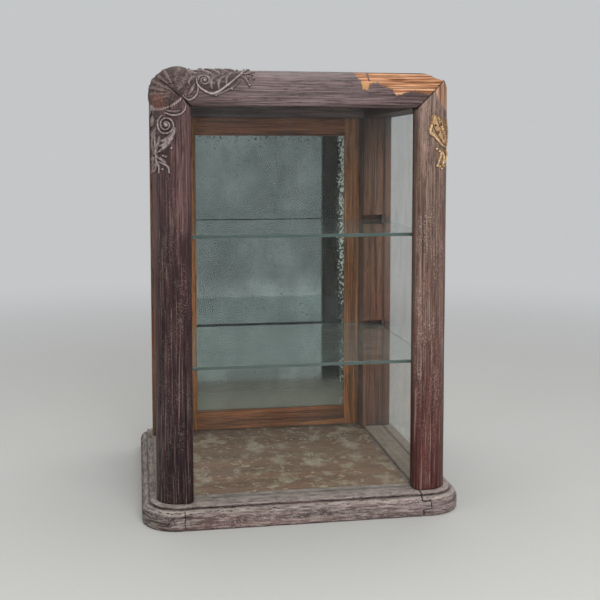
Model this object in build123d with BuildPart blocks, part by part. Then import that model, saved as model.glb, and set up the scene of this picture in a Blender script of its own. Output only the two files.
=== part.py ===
from build123d import *
from math import cos, pi, sin
import os

# Countertop display case: a moulded base with rounded corner blocks, round-faced front posts mitred to a
# top rail, glass on three sides, two glass shelves and a mirrored door at the back.
# Millimetres. +Z is up, the glass front faces -Y and +X is the viewer's right. The origin lies on the
# resting surface, under the middle of the whole case.

os.makedirs("parts", exist_ok=True)

# Carcass
case_width = 386.0  # over the outer faces of the posts
case_depth = 351.0  # face of the front frame to the back of the rear posts
opening_height = 506.0  # floor panel to the underside of the top rails
member_width = 47.0  # face width of the posts and the top rails
frame_thickness = 32.0  # depth of the front posts and of the top front rail
rear_post_depth = 51.0
post_round = 29.0  # large outer round of the front posts
inner_round = 9.0  # small round towards the glass
corner_round = 34.0  # top corners of the front frame, seen from the front
edge_round = 3.0  # outer back edges of the rear posts
rail_round = 8.0  # outer top edge of the side rails

# Base moulding, from the top down: bead, step, hollow, square nose
base_height = 29.0
bead_reach = 9.0  # bead beyond the front of the posts
nose_reach = 19.0  # nose beyond the front of the posts
bead_height = 3.5
bead_bevel = 1.2
step_width = 1.2
nose_drop = 11.5  # top of the nose below the top of the base
hollow_radius = 6.5
nose_bevel = 1.5
toe_round = 4.0
base_overhang = 7.0  # side rails beyond the back of the rear posts
back_rail_thickness = 22.0

# Lock joints between the rails and the corner blocks
tongue_length = 12.0
tongue_height = 11.0
tongue_drop = 8.0  # top of the tongue below the top of the base
tongue_web = 8.0  # wood of a corner block between its two slots, from the centre of its round

# Panels
floor_thickness = 10.0
cleat_size = 12.0
cleat_inset = 16.0  # ends of the cleats from the front and back rails
top_thickness = 10.0
rebate_width = 12.0  # ledge of the top rails under the top panel
panel_gap = 0.2

# Glass
glass_thickness = 3.0
glass_setback = 18.0  # front glass behind the face of the frame
glass_edge = 4.0  # hold of the front glass in the frame
groove_depth = 3.0  # groove of the front glass in the base
side_glass_inset = 14.0  # inner face of the side glass from the outer face of the posts
side_groove_depth = 6.0
sill_height = 4.5
sill_inset = 3.5  # sill behind the inner face of the posts
sill_web = 1.5  # wood left under the side glass
groove_clearance = 0.2
bead_thickness = 5.0

# Shelves
shelf_thickness = 4.5
shelf_heights = {"lower": 167.0, "upper": 338.0}  # undersides above the floor panel
glass_end_gap = 0.3  # between an end of a shelf or a side glass and its notch
notch_height = 12.0
front_notch_depth = 6.0
rear_notch_depth = 24.0
shelf_side_gap = 3.0

# Door
door_thickness = 22.0
door_gap = 1.5
door_lap = 6.0  # door top behind the lip of the header
stop_gap = 0.3
stile_width = 23.5
top_rail_width = 35.0
bottom_rail_width = 31.0
sight_lip = 6.0  # wood in front of the mirror
mirror_lap = 6.0  # mirror behind the edge of the stiles
mirror_thickness = 3.5
backboard_thickness = 4.0
fillet_width = 10.0
fillet_thickness = 6.5
plate_gap = 0.5
tenon_length = 12.0
tenon_thickness = 6.0
tenon_shoulder = 5.0

# Hinges
hinge_inset = 75.0  # middle of each hinge from the end of the door
leaf_height = 50.0
leaf_width = 20.0
leaf_thickness = 1.2
knuckle_radius = 3.5
knuckle_count = 3
knuckle_gap = 0.2
knuckle_clearance = 0.5  # knuckles behind the back of the post
pin_radius = 1.5
pin_clearance = 0.05
pin_head_radius = 2.4
pin_head_height = 1.5

# Knob and turn button
knob_height = 250.0
knob_reach = 25.0
knob_radius = 9.0
knob_rim = 4.0  # straight rim of the knob
knob_crown = 4.5  # shallow crown beyond the rim
rose_radius = 8.0
rose_thickness = 2.5
neck_radius = 4.0
spindle_radius = 2.5
spindle_length = 12.0
button_height = 330.0
button_length = 36.0
button_width = 10.0
button_thickness = 2.5
button_gap = 0.3
button_offset = 8.0  # pivot from the inner face of the post
button_screw_radius = 2.0
button_screw_head = 4.0
button_head_height = 1.8
button_screw_length = 14.0
screw_clearance = 0.05

# Dowels
dowel_radius = 4.0
dowel_half = 12.0  # depth in each piece
side_dowel_inset = 23.0
front_dowel_inset = 16.0
rail_dowel_drop = 20.0

# Applied ornament
relief = 3.5  # scrolls proud of the frame
ground_relief = 1.8  # leaf ground between them
relief_wrap = 22.0  # how far the ornament reaches back from the face of the frame
volute_ring = 0.68  # inner edge of a volute's ring, as a share of its radius
volute_eye = 0.36
cap_radius = 30.0
cap_depth = 24.0  # half thickness of the cap, front to back
cap_centre_inset = 23.0  # middle of the cap from the outer face of the post
cap_centre_drop = 24.0  # middle of the cap below the top
cap_setback = 20.0  # middle of the cap behind the face of the frame
cap_rings = 5  # sections from the rim to the crown
cap_flutes = 10
cap_flute = 0.07  # depth of a flute, as a share of the radius there

# Places worked out from the sizes above
half_width = case_width / 2
half_opening = half_width - member_width
overall_depth = nose_reach + case_depth + knob_reach
y_face = nose_reach - overall_depth / 2
y_glass = y_face + glass_setback
y_frame_back = y_face + frame_thickness
y_back = y_face + case_depth
y_rear_post = y_back - rear_post_depth
y_base_back = y_back + base_overhang
y_door = y_back - door_thickness
z_floor = base_height
z_rail = z_floor + opening_height
z_top = z_rail + member_width
x_centre = half_width - post_round  # centre of the rounded corners in plan
y_centre = y_face + post_round
bead_line = post_round + bead_reach
nose_line = post_round + nose_reach
x_shoulder = x_centre - tongue_length
y_shoulder = y_centre + tongue_length
z_tongue_top = base_height - tongue_drop
z_tongue_bottom = z_tongue_top - tongue_height
x_side_glass = half_width - side_glass_inset
x_notch = x_side_glass - groove_clearance
front_plane = Plane.XZ.offset(-y_face)


def block(x, y, z, mode=Mode.ADD):
    """Adds or cuts a rectangular block. Each of x, y and z is a pair of limits."""
    spans = [sorted(limits) for limits in (x, y, z)]
    with Locations(tuple((low + high) / 2 for low, high in spans)):
        Box(*(high - low for low, high in spans), mode=mode)


def dowels(axis, places):
    """Adds a dowel centred on each place. The holes are the same cylinders, cut."""
    turn = {"X": (0, 90, 0), "Y": (90, 0, 0), "Z": (0, 0, 0)}[axis]
    with Locations(*(Location(place, turn) for place in places)):
        Cylinder(dowel_radius, 2 * dowel_half)


# Base


def base_section(plane, inner):
    """Returns the base moulding's section. Its x runs outwards from the centre line of the rounded corners."""
    z_nose = base_height - nose_drop
    z_step = base_height - bead_height
    x_step = bead_line + step_width
    with BuildSketch(plane) as section:
        with BuildLine():
            Line((inner, 0), (nose_line - toe_round, 0))
            CenterArc((nose_line - toe_round, toe_round), toe_round, -90, 90)
            Line((nose_line, toe_round), (nose_line, z_nose - nose_bevel))
            Line((nose_line, z_nose - nose_bevel), (nose_line - nose_bevel, z_nose))
            Line((nose_line - nose_bevel, z_nose), (x_step + hollow_radius, z_nose))
            CenterArc((x_step + hollow_radius, z_nose + hollow_radius), hollow_radius, 270, -90)
            Line((x_step, z_nose + hollow_radius), (x_step, z_step))
            Line((x_step, z_step), (bead_line, z_step))
            Line((bead_line, z_step), (bead_line, base_height - bead_bevel))
            Line((bead_line, base_height - bead_bevel), (bead_line - bead_bevel, base_height))
            Line((bead_line - bead_bevel, base_height), (inner, base_height))
            Line((inner, base_height), (inner, 0))
        make_face()
    return section.sketch


def outward_front(x):
    """Plane across the front rail, with its x towards the front."""
    return Plane(origin=(x, y_centre, 0), x_dir=(0, -1, 0), z_dir=(-1, 0, 0))


def outward_side(y):
    """Plane across the right side rail, with its x to the right."""
    return Plane(origin=(x_centre, y, 0), x_dir=(1, 0, 0), z_dir=(0, -1, 0))


post_dowel_places = [
    (side * (half_width - side_dowel_inset), y, z_floor)
    for side in (-1, 1)
    for y in (y_face + front_dowel_inset, y_rear_post + rear_post_depth / 2)
]

with BuildPart() as base_dowels:
    dowels("Z", post_dowel_places)

with BuildPart() as base_front_rail:
    extrude(base_section(outward_front(0), y_centre - y_frame_back), amount=x_centre, both=True)
    for side in (-1, 1):
        ends = (side * x_shoulder, side * x_centre)
        across = (y_centre - nose_line, y_frame_back)
        block(ends, across, (z_tongue_top, base_height), Mode.SUBTRACT)
        block(ends, across, (0, z_tongue_bottom), Mode.SUBTRACT)
        block(ends, (y_centre - tongue_web, y_frame_back), (0, base_height), Mode.SUBTRACT)
    glass_slot = (y_glass - groove_clearance, y_glass + glass_thickness + groove_clearance)
    slot_end = half_opening + glass_edge + groove_clearance
    block((-slot_end, slot_end), glass_slot, (z_floor - groove_depth, z_floor), Mode.SUBTRACT)

with BuildPart() as base_corner_right:
    corner_axis = Axis((x_centre, y_centre, 0), (0, 0, -1))
    revolve(base_section(outward_side(y_centre), 0), axis=corner_axis, revolution_arc=90)
    extrude(base_section(outward_front(x_centre), y_centre - y_frame_back), amount=tongue_length)
    extrude(base_section(outward_side(y_centre), 0), amount=-tongue_length)
    block((half_opening, x_centre), (y_frame_back, y_shoulder), (0, base_height))
    slot = (z_tongue_bottom, z_tongue_top)
    block((x_shoulder, x_centre), (y_centre - nose_line, y_centre - tongue_web), slot, Mode.SUBTRACT)
    block((x_centre + tongue_web, x_centre + nose_line), (y_centre, y_shoulder), slot, Mode.SUBTRACT)
    add(base_dowels.part, mode=Mode.SUBTRACT)

with BuildPart() as base_side_rail_right:
    rail_section = base_section(outward_side(y_shoulder), half_opening - x_centre)
    extrude(rail_section, amount=-(y_base_back - y_shoulder))
    extrude(base_section(outward_side(y_centre), tongue_web), amount=-tongue_length)
    across = (x_centre, x_centre + nose_line)
    along = (y_centre, y_shoulder)
    block(across, along, (z_tongue_top, base_height), Mode.SUBTRACT)
    block(across, along, (0, z_tongue_bottom), Mode.SUBTRACT)
    add(base_dowels.part, mode=Mode.SUBTRACT)

with BuildPart() as base_corner_left:
    mirror(base_corner_right.part, about=Plane.YZ)

with BuildPart() as base_side_rail_left:
    mirror(base_side_rail_right.part, about=Plane.YZ)

with BuildPart() as base_back_rail:
    block((-half_opening, half_opening), (y_base_back - back_rail_thickness, y_base_back), (0, z_floor))

floor_back = y_base_back - back_rail_thickness
with BuildPart() as floor_panel:
    panel_half = half_opening - panel_gap
    block(
        (-panel_half, panel_half),
        (y_frame_back + panel_gap, floor_back - panel_gap),
        (z_floor - floor_thickness, z_floor),
    )

z_cleat = z_floor - floor_thickness
cleat_span = (y_shoulder + cleat_inset, floor_back - cleat_inset)
with BuildPart() as floor_cleat_right:
    block((half_opening - cleat_size, half_opening), cleat_span, (z_cleat - cleat_size, z_cleat))

with BuildPart() as floor_cleat_left:
    mirror(floor_cleat_right.part, about=Plane.YZ)


# Grooves for the side glass and notches for the shelves, cut from every piece that they cross

z_side_glass = z_floor + sill_web
side_glass_y = (y_frame_back - side_groove_depth + glass_end_gap, y_rear_post + side_groove_depth - glass_end_gap)


def cut_side_groove(side):
    """Cuts the run of grooves that holds one side glass."""
    block(
        (side * (x_side_glass - groove_clearance), side * (x_side_glass + glass_thickness + groove_clearance)),
        (y_frame_back - side_groove_depth, y_rear_post + side_groove_depth),
        (z_side_glass, z_rail + side_groove_depth),
        Mode.SUBTRACT,
    )


def cut_shelf_notches():
    """Cuts the notches in which the loose shelves lie."""
    for height in shelf_heights.values():
        z_shelf = z_floor + height
        block(
            (-x_notch, x_notch),
            (y_frame_back - front_notch_depth, y_rear_post + rear_notch_depth),
            (z_shelf, z_shelf + notch_height),
            Mode.SUBTRACT,
        )


with BuildPart() as side_sill_right:
    block((half_opening + sill_inset, half_width), (y_frame_back, y_rear_post), (z_floor, z_floor + sill_height))
    cut_side_groove(1)

with BuildPart() as side_sill_left:
    mirror(side_sill_right.part, about=Plane.YZ)


# Front frame


def frame_solid(grow=0.0):
    """Returns the front frame in one piece, rounded outside and inside, grown outwards by the given amount."""
    with BuildPart() as frame:
        with BuildSketch(front_plane.offset(grow)):
            with Locations((0, (z_floor + z_top + grow) / 2)):
                outer = Rectangle(case_width + 2 * grow, z_top + grow - z_floor)
            fillet(outer.vertices().group_by(Axis.Y)[-1], corner_round + grow)
            with Locations((0, (z_floor + z_rail) / 2)):
                Rectangle(2 * half_opening, opening_height, mode=Mode.SUBTRACT)
        extrude(amount=-(frame_thickness + grow))
        face_edges = frame.faces().sort_by(Axis.Y)[0].edges()
        inner = face_edges.filter_by(
            lambda edge: abs(edge.center().X) < half_opening + 1 and z_floor + 1 < edge.center().Z < z_rail + 1
        )
        outer_edges = face_edges.filter_by(
            lambda edge: abs(edge.center().X) > half_width - corner_round or edge.center().Z > z_top - corner_round
        )
        fillet(outer_edges.filter_by(lambda edge: edge.center().Z > z_floor + 1), post_round + grow)
        fillet(inner, inner_round)
    return frame.part


frame = frame_solid()
mitre_origin = (half_opening, 0, z_rail)
mitre_right = Plane(origin=mitre_origin, z_dir=(-1, 0, 1))
mitre_left = Plane(origin=(-half_opening, 0, z_rail), z_dir=(1, 0, 1))

rebate_x = half_opening + glass_edge + groove_clearance
rebate_z = z_rail + glass_edge + groove_clearance
rail_dowel_z = z_top - rail_dowel_drop
rail_dowel_x = half_width - side_dowel_inset - dowel_radius
top_dowel_places = {
    "Y": [(side * rail_dowel_x, y, rail_dowel_z) for side in (-1, 1) for y in (y_frame_back, y_rear_post)],
    "X": [(side * half_opening, y_rear_post + rear_post_depth / 2, rail_dowel_z) for side in (-1, 1)],
}

with BuildPart() as top_dowels:
    for axis, places in top_dowel_places.items():
        dowels(axis, places)

with BuildPart() as front_post_right:
    add(frame)
    split(bisect_by=Plane.YZ, keep=Keep.TOP)
    split(bisect_by=mitre_right, keep=Keep.BOTTOM)
    block((half_opening, rebate_x), (y_glass, y_frame_back), (z_floor, z_top), Mode.SUBTRACT)
    cut_side_groove(1)
    cut_shelf_notches()
    add(base_dowels.part, mode=Mode.SUBTRACT)

with BuildPart() as front_post_left:
    mirror(front_post_right.part, about=Plane.YZ)

with BuildPart() as top_front_rail:
    add(frame)
    split(bisect_by=mitre_right, keep=Keep.TOP)
    split(bisect_by=mitre_left, keep=Keep.TOP)
    block((-rebate_x, rebate_x), (y_glass, y_frame_back), (z_rail, rebate_z), Mode.SUBTRACT)
    add(top_dowels.part, mode=Mode.SUBTRACT)


# Top rails, rear posts and top panel

panel_edge = half_opening + rebate_width
y_panel_back = y_rear_post + rebate_width
z_panel = z_top - top_thickness


def cut_panel_rebate():
    """Cuts the rebate that the top panel lies in."""
    block((-panel_edge, panel_edge), (y_frame_back, y_panel_back), (z_panel, z_top), Mode.SUBTRACT)


with BuildPart() as top_side_rail_right:
    with BuildSketch(Plane.XZ.offset(-y_frame_back)):
        with Locations((half_width - member_width / 2, z_top - member_width / 2)):
            section = Rectangle(member_width, member_width)
        fillet(section.vertices().group_by(Axis.X)[-1].sort_by(Axis.Y)[-1], rail_round)
    extrude(amount=-(y_rear_post - y_frame_back))
    cut_side_groove(1)
    cut_panel_rebate()
    add(top_dowels.part, mode=Mode.SUBTRACT)

with BuildPart() as top_side_rail_left:
    mirror(top_side_rail_right.part, about=Plane.YZ)

with BuildPart() as rear_header:
    block((-half_opening, half_opening), (y_rear_post, y_back), (z_rail, z_top))
    lap = (z_rail, z_rail + door_lap + door_gap)
    block((-half_opening, half_opening), (y_door - stop_gap, y_back), lap, Mode.SUBTRACT)
    cut_panel_rebate()
    add(top_dowels.part, mode=Mode.SUBTRACT)

with BuildPart() as top_panel:
    block(
        (-panel_edge + panel_gap, panel_edge - panel_gap),
        (y_frame_back, y_panel_back - panel_gap),
        (z_panel, z_top),
    )


# Hinges of the door, with their pin upright behind the gap beside the right post

door_half = half_opening - door_gap
door_bottom = z_floor + door_gap
door_top = z_rail + door_lap
x_pin = half_opening - door_gap / 2
y_pin = y_back + knuckle_clearance + knuckle_radius
hinge_heights = {"lower": door_bottom + hinge_inset, "upper": door_top - hinge_inset}
leaf_sides = {
    "door": (door_half - leaf_thickness, door_half),
    "post": (half_opening, half_opening + leaf_thickness),
}


def leaf_mortise(leaf, height, mode):
    """Adds or cuts the flat of one hinge leaf, which lies flush in its mortise."""
    z = (height - leaf_height / 2, height + leaf_height / 2)
    block(leaf_sides[leaf], (y_back - leaf_width, y_back), z, mode)


def hinge_leaf(leaf, height):
    """Returns one leaf with its knuckles. The post's leaf has the first and last of them."""
    pitch = leaf_height / knuckle_count
    first = 1 if leaf == "door" else 0
    with BuildPart() as piece:
        leaf_mortise(leaf, height, Mode.ADD)
        for index in range(first, knuckle_count, 2):
            low = height - leaf_height / 2 + index * pitch + knuckle_gap / 2
            high = low + pitch - knuckle_gap
            block(leaf_sides[leaf], (y_back - leaf_thickness, y_pin), (low, high))
            with Locations((x_pin, y_pin, (low + high) / 2)):
                Cylinder(knuckle_radius, pitch - knuckle_gap)
        with Locations((x_pin, y_pin, height)):
            Cylinder(pin_radius + pin_clearance, leaf_height, mode=Mode.SUBTRACT)
    return piece


def hinge_pin(height):
    """Returns one pin, with a head at each end."""
    half = leaf_height / 2 - knuckle_gap / 2
    with BuildPart() as piece:
        with BuildSketch(Plane(origin=(x_pin, y_pin, height), x_dir=(1, 0, 0), z_dir=(0, -1, 0))):
            with BuildLine():
                Polyline(
                    (0, -half - pin_head_height),
                    (pin_head_radius, -half - pin_head_height),
                    (pin_head_radius, -half),
                    (pin_radius, -half),
                    (pin_radius, half),
                    (pin_head_radius, half),
                    (pin_head_radius, half + pin_head_height),
                    (0, half + pin_head_height),
                    close=True,
                )
            make_face()
        revolve(axis=Axis((x_pin, y_pin, height), (0, 0, 1)))
    return piece


hinge_leaves = {
    f"hinge_{leaf}_leaf_{name}": hinge_leaf(leaf, height)
    for leaf in leaf_sides
    for name, height in hinge_heights.items()
}
hinge_pins = {f"hinge_pin_{name}": hinge_pin(height) for name, height in hinge_heights.items()}


# Turn button on the left post and its screw

x_button = -half_opening - button_offset
z_button = z_floor + button_height
button_plane = Plane.XZ.offset(-y_back)
button_axis = Axis((x_button, y_back, z_button), (0, 1, 0))
button_centre = (x_button, z_button)

with BuildPart() as turn_button:
    with BuildSketch(button_plane.offset(-button_gap)):
        with Locations(button_centre):
            SlotOverall(button_length, button_width, rotation=90)
            Circle(button_screw_radius + screw_clearance, mode=Mode.SUBTRACT)
    extrude(amount=-button_thickness)
    rim = turn_button.faces().sort_by(Axis.Y)[-1].outer_wire().edges()
    chamfer(rim, button_thickness / 4)

with BuildPart() as turn_button_screw:
    head_seat = 2 * button_gap + button_thickness
    with BuildSketch(Plane(origin=(x_button, y_back, z_button), x_dir=(1, 0, 0), z_dir=(0, 0, 1))):
        with BuildLine():
            Polyline(
                (0, -button_screw_length),
                (button_screw_radius, -button_screw_length),
                (button_screw_radius, head_seat),
                (button_screw_head, head_seat),
                (button_screw_head * 0.6, head_seat + button_head_height),
                (0, head_seat + button_head_height),
                close=True,
            )
        make_face()
    revolve(axis=button_axis)


# Rear posts


def rear_post(side):
    """Returns one square rear post, notched for the shelves."""
    with BuildPart() as post:
        with BuildSketch(Plane.XY.offset(z_floor)):
            with Locations((side * (half_width - member_width / 2), y_rear_post + rear_post_depth / 2)):
                section = Rectangle(member_width, rear_post_depth)
            outer = section.vertices().group_by(Axis.X)[-1 if side > 0 else 0]
            fillet(outer.sort_by(Axis.Y)[-1], edge_round)
        extrude(amount=z_top - z_floor)
        cut_side_groove(side)
        cut_shelf_notches()
        cut_panel_rebate()
        add(base_dowels.part, mode=Mode.SUBTRACT)
        add(top_dowels.part, mode=Mode.SUBTRACT)
        if side > 0:
            for height in hinge_heights.values():
                leaf_mortise("post", height, Mode.SUBTRACT)
        else:
            add(turn_button_screw.part, mode=Mode.SUBTRACT)
    return post


rear_posts = {"rear_post_left": rear_post(-1), "rear_post_right": rear_post(1)}


# Glass and its beads

glass_half = half_opening + glass_edge
with BuildPart() as front_glass:
    block(
        (-glass_half, glass_half),
        (y_glass, y_glass + glass_thickness),
        (z_floor - groove_depth, z_rail + glass_edge),
    )

with BuildPart() as side_glass_right:
    block(
        (x_side_glass, x_side_glass + glass_thickness),
        side_glass_y,
        (z_side_glass, z_rail + side_groove_depth - glass_end_gap),
    )

with BuildPart() as side_glass_left:
    mirror(side_glass_right.part, about=Plane.YZ)

y_bead = y_glass + glass_thickness
bead_rounding = glass_edge / 2

with BuildPart() as glass_bead_right:
    with BuildSketch(Plane.XY.offset(z_floor)):
        with Locations((rebate_x - glass_edge / 2, y_bead + bead_thickness / 2)):
            section = Rectangle(glass_edge, bead_thickness)
        fillet(section.vertices().group_by(Axis.X)[0].sort_by(Axis.Y)[-1], bead_rounding)
    extrude(amount=opening_height)

with BuildPart() as glass_bead_left:
    mirror(glass_bead_right.part, about=Plane.YZ)

with BuildPart() as glass_bead_top:
    with BuildSketch(Plane.YZ):
        with Locations((y_bead + bead_thickness / 2, rebate_z - glass_edge / 2)):
            section = Rectangle(bead_thickness, glass_edge)
        fillet(section.vertices().group_by(Axis.Y)[0].sort_by(Axis.X)[-1], bead_rounding)
    extrude(amount=rebate_x, both=True)


def glass_shelf(height):
    """Returns one loose glass shelf, with eased edges, lying in its notches."""
    low = z_floor + height
    front = y_frame_back - front_notch_depth + glass_end_gap
    back = y_rear_post + rear_notch_depth - glass_end_gap
    half = x_notch - shelf_side_gap
    with BuildPart() as shelf:
        block((-half, half), (front, back), (low, low + shelf_thickness))
        chamfer(shelf.edges(), shelf_thickness / 10)
    return shelf


shelves = {f"glass_shelf_{name}": glass_shelf(height) for name, height in shelf_heights.items()}


# Door: mortised frame, mirror, backboard and fillets

sight_half = door_half - stile_width
plate_half = sight_half + mirror_lap
z_sight_low = door_bottom + bottom_rail_width
z_sight_high = door_top - top_rail_width
y_mirror = y_door + sight_lip
tenon_y = (y_back - tenon_shoulder - tenon_thickness, y_back - tenon_shoulder)
door_rails = {
    "top": (z_sight_high, z_sight_high + mirror_lap, door_top),
    "bottom": (z_sight_low, z_sight_low - mirror_lap, door_bottom),
}


def tenon_limits(rail):
    """Gives the lower and upper limit of the tenons of one rail."""
    _, rebate, edge = door_rails[rail]
    low, high = sorted((rebate, edge))
    return (low + tenon_shoulder, high - tenon_shoulder)


x_knob = -(plate_half + door_half) / 2
knob_plane = Plane(origin=(x_knob, y_back, z_floor + knob_height), x_dir=(1, 0, 0), z_dir=(0, 0, 1))

with BuildPart() as door_knob:
    rim = knob_reach - knob_crown
    with BuildSketch(knob_plane):
        with BuildLine():
            Polyline(
                (0, knob_reach),
                (0, -spindle_length),
                (spindle_radius, -spindle_length),
                (spindle_radius, 0),
                (rose_radius, 0),
                (rose_radius, rose_thickness / 2),
                (neck_radius + 1, rose_thickness),
                (neck_radius, rose_thickness + 1),
                (neck_radius, rim - knob_rim - (knob_radius - neck_radius) / 2),
                (knob_radius, rim - knob_rim),
                (knob_radius, rim),
                (knob_radius * 0.6, rim + knob_crown * 0.75),
                (0, knob_reach),
            )
        make_face()
    revolve(axis=Axis(knob_plane.origin, (0, 1, 0)))


def door_stile(side):
    """Returns one stile, rebated for the mirror and mortised for the rails."""
    with BuildPart() as stile:
        with BuildSketch(Plane.XY.offset(door_bottom)):
            with BuildLine():
                Polyline(
                    (side * sight_half, y_door),
                    (side * door_half, y_door),
                    (side * door_half, y_back),
                    (side * plate_half, y_back),
                    (side * plate_half, y_mirror),
                    (side * sight_half, y_mirror),
                    close=True,
                )
            make_face()
        extrude(amount=door_top - door_bottom)
        for rail in door_rails:
            tenon_x = (side * plate_half, side * (plate_half + tenon_length))
            block(tenon_x, tenon_y, tenon_limits(rail), Mode.SUBTRACT)
        if side > 0:
            for height in hinge_heights.values():
                leaf_mortise("door", height, Mode.SUBTRACT)
        else:
            add(door_knob.part, mode=Mode.SUBTRACT)
    return stile


def door_rail(rail):
    """Returns one rail, with a long shoulder behind the mirror's rebate and a tenon at each end."""
    sight, rebate, edge = door_rails[rail]
    with BuildPart() as piece:
        with BuildSketch(Plane.YZ):
            with BuildLine():
                Polyline(
                    (y_door, sight),
                    (y_mirror, sight),
                    (y_mirror, rebate),
                    (y_back, rebate),
                    (y_back, edge),
                    (y_door, edge),
                    close=True,
                )
            make_face()
        extrude(amount=sight_half, both=True)
        for side in (-1, 1):
            block((side * sight_half, side * plate_half), (y_mirror, y_back), (rebate, edge))
            tenon_x = (side * plate_half, side * (plate_half + tenon_length))
            block(tenon_x, tenon_y, tenon_limits(rail))
    return piece


plate_x = plate_half - plate_gap
plate_z = (z_sight_low - mirror_lap + plate_gap, z_sight_high + mirror_lap - plate_gap)
y_board = y_mirror + mirror_thickness
y_fillet = y_board + backboard_thickness

with BuildPart() as mirror_plate:
    block((-plate_x, plate_x), (y_mirror, y_board), plate_z)

with BuildPart() as mirror_backboard:
    block((-plate_x, plate_x), (y_board, y_fillet), plate_z)

with BuildPart() as mirror_fillets:
    fillet_y = (y_fillet, y_fillet + fillet_thickness)
    for side in (-1, 1):
        block((side * (plate_half - fillet_width), side * plate_half), fillet_y, plate_z)
    for edge, inward in ((plate_z[0], fillet_width), (plate_z[1], -fillet_width)):
        block((fillet_width - plate_half, plate_half - fillet_width), fillet_y, (edge, edge + inward))

door_frame = {
    "door_stile_lock": door_stile(-1),
    "door_stile_hinge": door_stile(1),
    "door_rail_top": door_rail("top"),
    "door_rail_bottom": door_rail("bottom"),
}


# Applied ornament, seated on the rounds of the frame

cap_origin = (cap_centre_inset - half_width, y_face + cap_setback, z_top - cap_centre_drop)
cap_plane = Plane(origin=cap_origin, x_dir=(1, 0, 0), z_dir=(0, -1, 0))

with BuildPart() as corner_cap_left:
    for ring in range(cap_rings):
        rise = pi / 2 * ring / (cap_rings - 0.5)
        with BuildSketch(cap_plane.offset(cap_depth * sin(rise))):
            with BuildLine():
                crest = cap_radius * cos(rise)
                reaches = (crest, crest * (1 - cap_flute)) * cap_flutes
                turns = (pi * index / cap_flutes for index in range(2 * cap_flutes))
                Polyline(*((reach * sin(turn), reach * cos(turn)) for reach, turn in zip(reaches, turns)), close=True)
            make_face()
    loft(ruled=True)
    rim = corner_cap_left.faces().sort_by(Axis.Y)[-1]
    extrude(rim, amount=frame_thickness - cap_setback)
    add(frame, mode=Mode.SUBTRACT)

skins = {}
for thickness in (relief, ground_relief):
    with BuildPart() as skin:
        add(frame_solid(thickness))
        add(frame, mode=Mode.SUBTRACT)
        add(corner_cap_left.part, mode=Mode.SUBTRACT)
    skins[thickness] = skin.part

relief_plane = front_plane.offset(2 * relief)


def applied_relief(ground, scrolls):
    """Returns ornament on the frame's round: a low ground and the scrolls standing on it, cut to their outlines."""
    layers = []
    for thickness, outline in ((ground_relief, ground), (relief, scrolls)):
        with BuildPart() as layer:
            add(skins[thickness])
            extrude(outline, amount=-(2 * relief + relief_wrap), mode=Mode.INTERSECT)
        layers.append(layer.part)
    with BuildPart() as piece:
        add(layers)
    return piece


def from_corner(side, points):
    """Places points given as distances inwards and down from a top corner of the frame."""
    return [(side * (half_width - inwards), z_top - down) for inwards, down in points]


def leaf_ground(side, outline):
    """Returns the sketch of a leaf's closed outline, cut with straight strokes of the knife."""
    with BuildSketch(relief_plane) as sketch:
        with BuildLine():
            Polyline(*from_corner(side, outline), close=True)
        make_face()
    return sketch.sketch


def scroll_lines(side, stems, volutes, buds):
    """Returns the sketch of stems with their widths, volutes with an open ring round an eye, and round buds."""
    with BuildSketch(relief_plane) as sketch:
        for width, points in stems:
            with BuildLine():
                Polyline(*from_corner(side, points))
            trace(line_width=width)
        for radius, *place in volutes:
            with Locations(*from_corner(side, [place])):
                Circle(radius)
                Circle(radius * volute_ring, mode=Mode.SUBTRACT)
                Circle(radius * volute_eye)
        for radius, *place in buds:
            with Locations(*from_corner(side, [place])):
                Circle(radius)
    return sketch.sketch


ornament = {
    "scroll_ornament_rail": applied_relief(
        leaf_ground(-1, [(46, -8), (47, 24), (55, 32), (66, 35), (78, 34), (92, 26), (105, 14), (113, 13), (122, 20), (129, 12), (124, -8)]),
        scroll_lines(
            -1,
            [
                (4.5, [(53, 20), (63, 31), (76, 32), (89, 26), (104, 13), (117, 6)]),
                (3.0, [(78, 34), (90, 31), (98, 24), (104, 21)]),
                (3.5, [(48, 33), (55, 35), (58, 28)]),
            ],
            [(9.5, 63, 15.5)],
            [(4.5, place, 0) for place in (52, 68, 84, 100)] + [(5.0, 118, 2), (5.0, 124, 14)],
        ),
    ),
    "scroll_ornament_post": applied_relief(
        leaf_ground(-1, [(-9, 56), (8, 56), (20, 60), (25, 70), (23, 84), (17, 95), (9, 103), (5, 112), (6, 122), (11, 131), (-9, 132)]),
        scroll_lines(
            -1,
            [
                (4.0, [(23, 77), (17, 90), (7, 102), (1, 112), (3, 121), (7, 130)]),
                (3.0, [(13, 83), (5, 92), (-3, 99)]),
                (3.0, [(-2, 127), (7, 131), (13, 128), (20, 127)]),
            ],
            [(11.0, 12.5, 69), (5.5, -1, 62)],
            [(3.5, 20, 97), (3.5, -1, 127), (3.5, 20, 127)],
        ),
    ),
    "ornament_remnant_right": applied_relief(
        leaf_ground(1, [(37, 39), (27, 42), (25, 58), (8, 60), (3, 76), (4, 97), (13, 91), (25, 82), (31, 76), (28, 62), (34, 51)]),
        scroll_lines(
            1,
            [(3.0, [(29, 71), (21, 79), (13, 85), (8, 88)]), (3.0, [(23, 97), (19, 104), (13, 112), (13, 124)])],
            [],
            [(3.0, 24, 97), (3.5, 21, 120), (3.5, 14, 125), (3.5, 8.4, 123)],
        ),
    ),
}


# Every piece, under the name of its file

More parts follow.
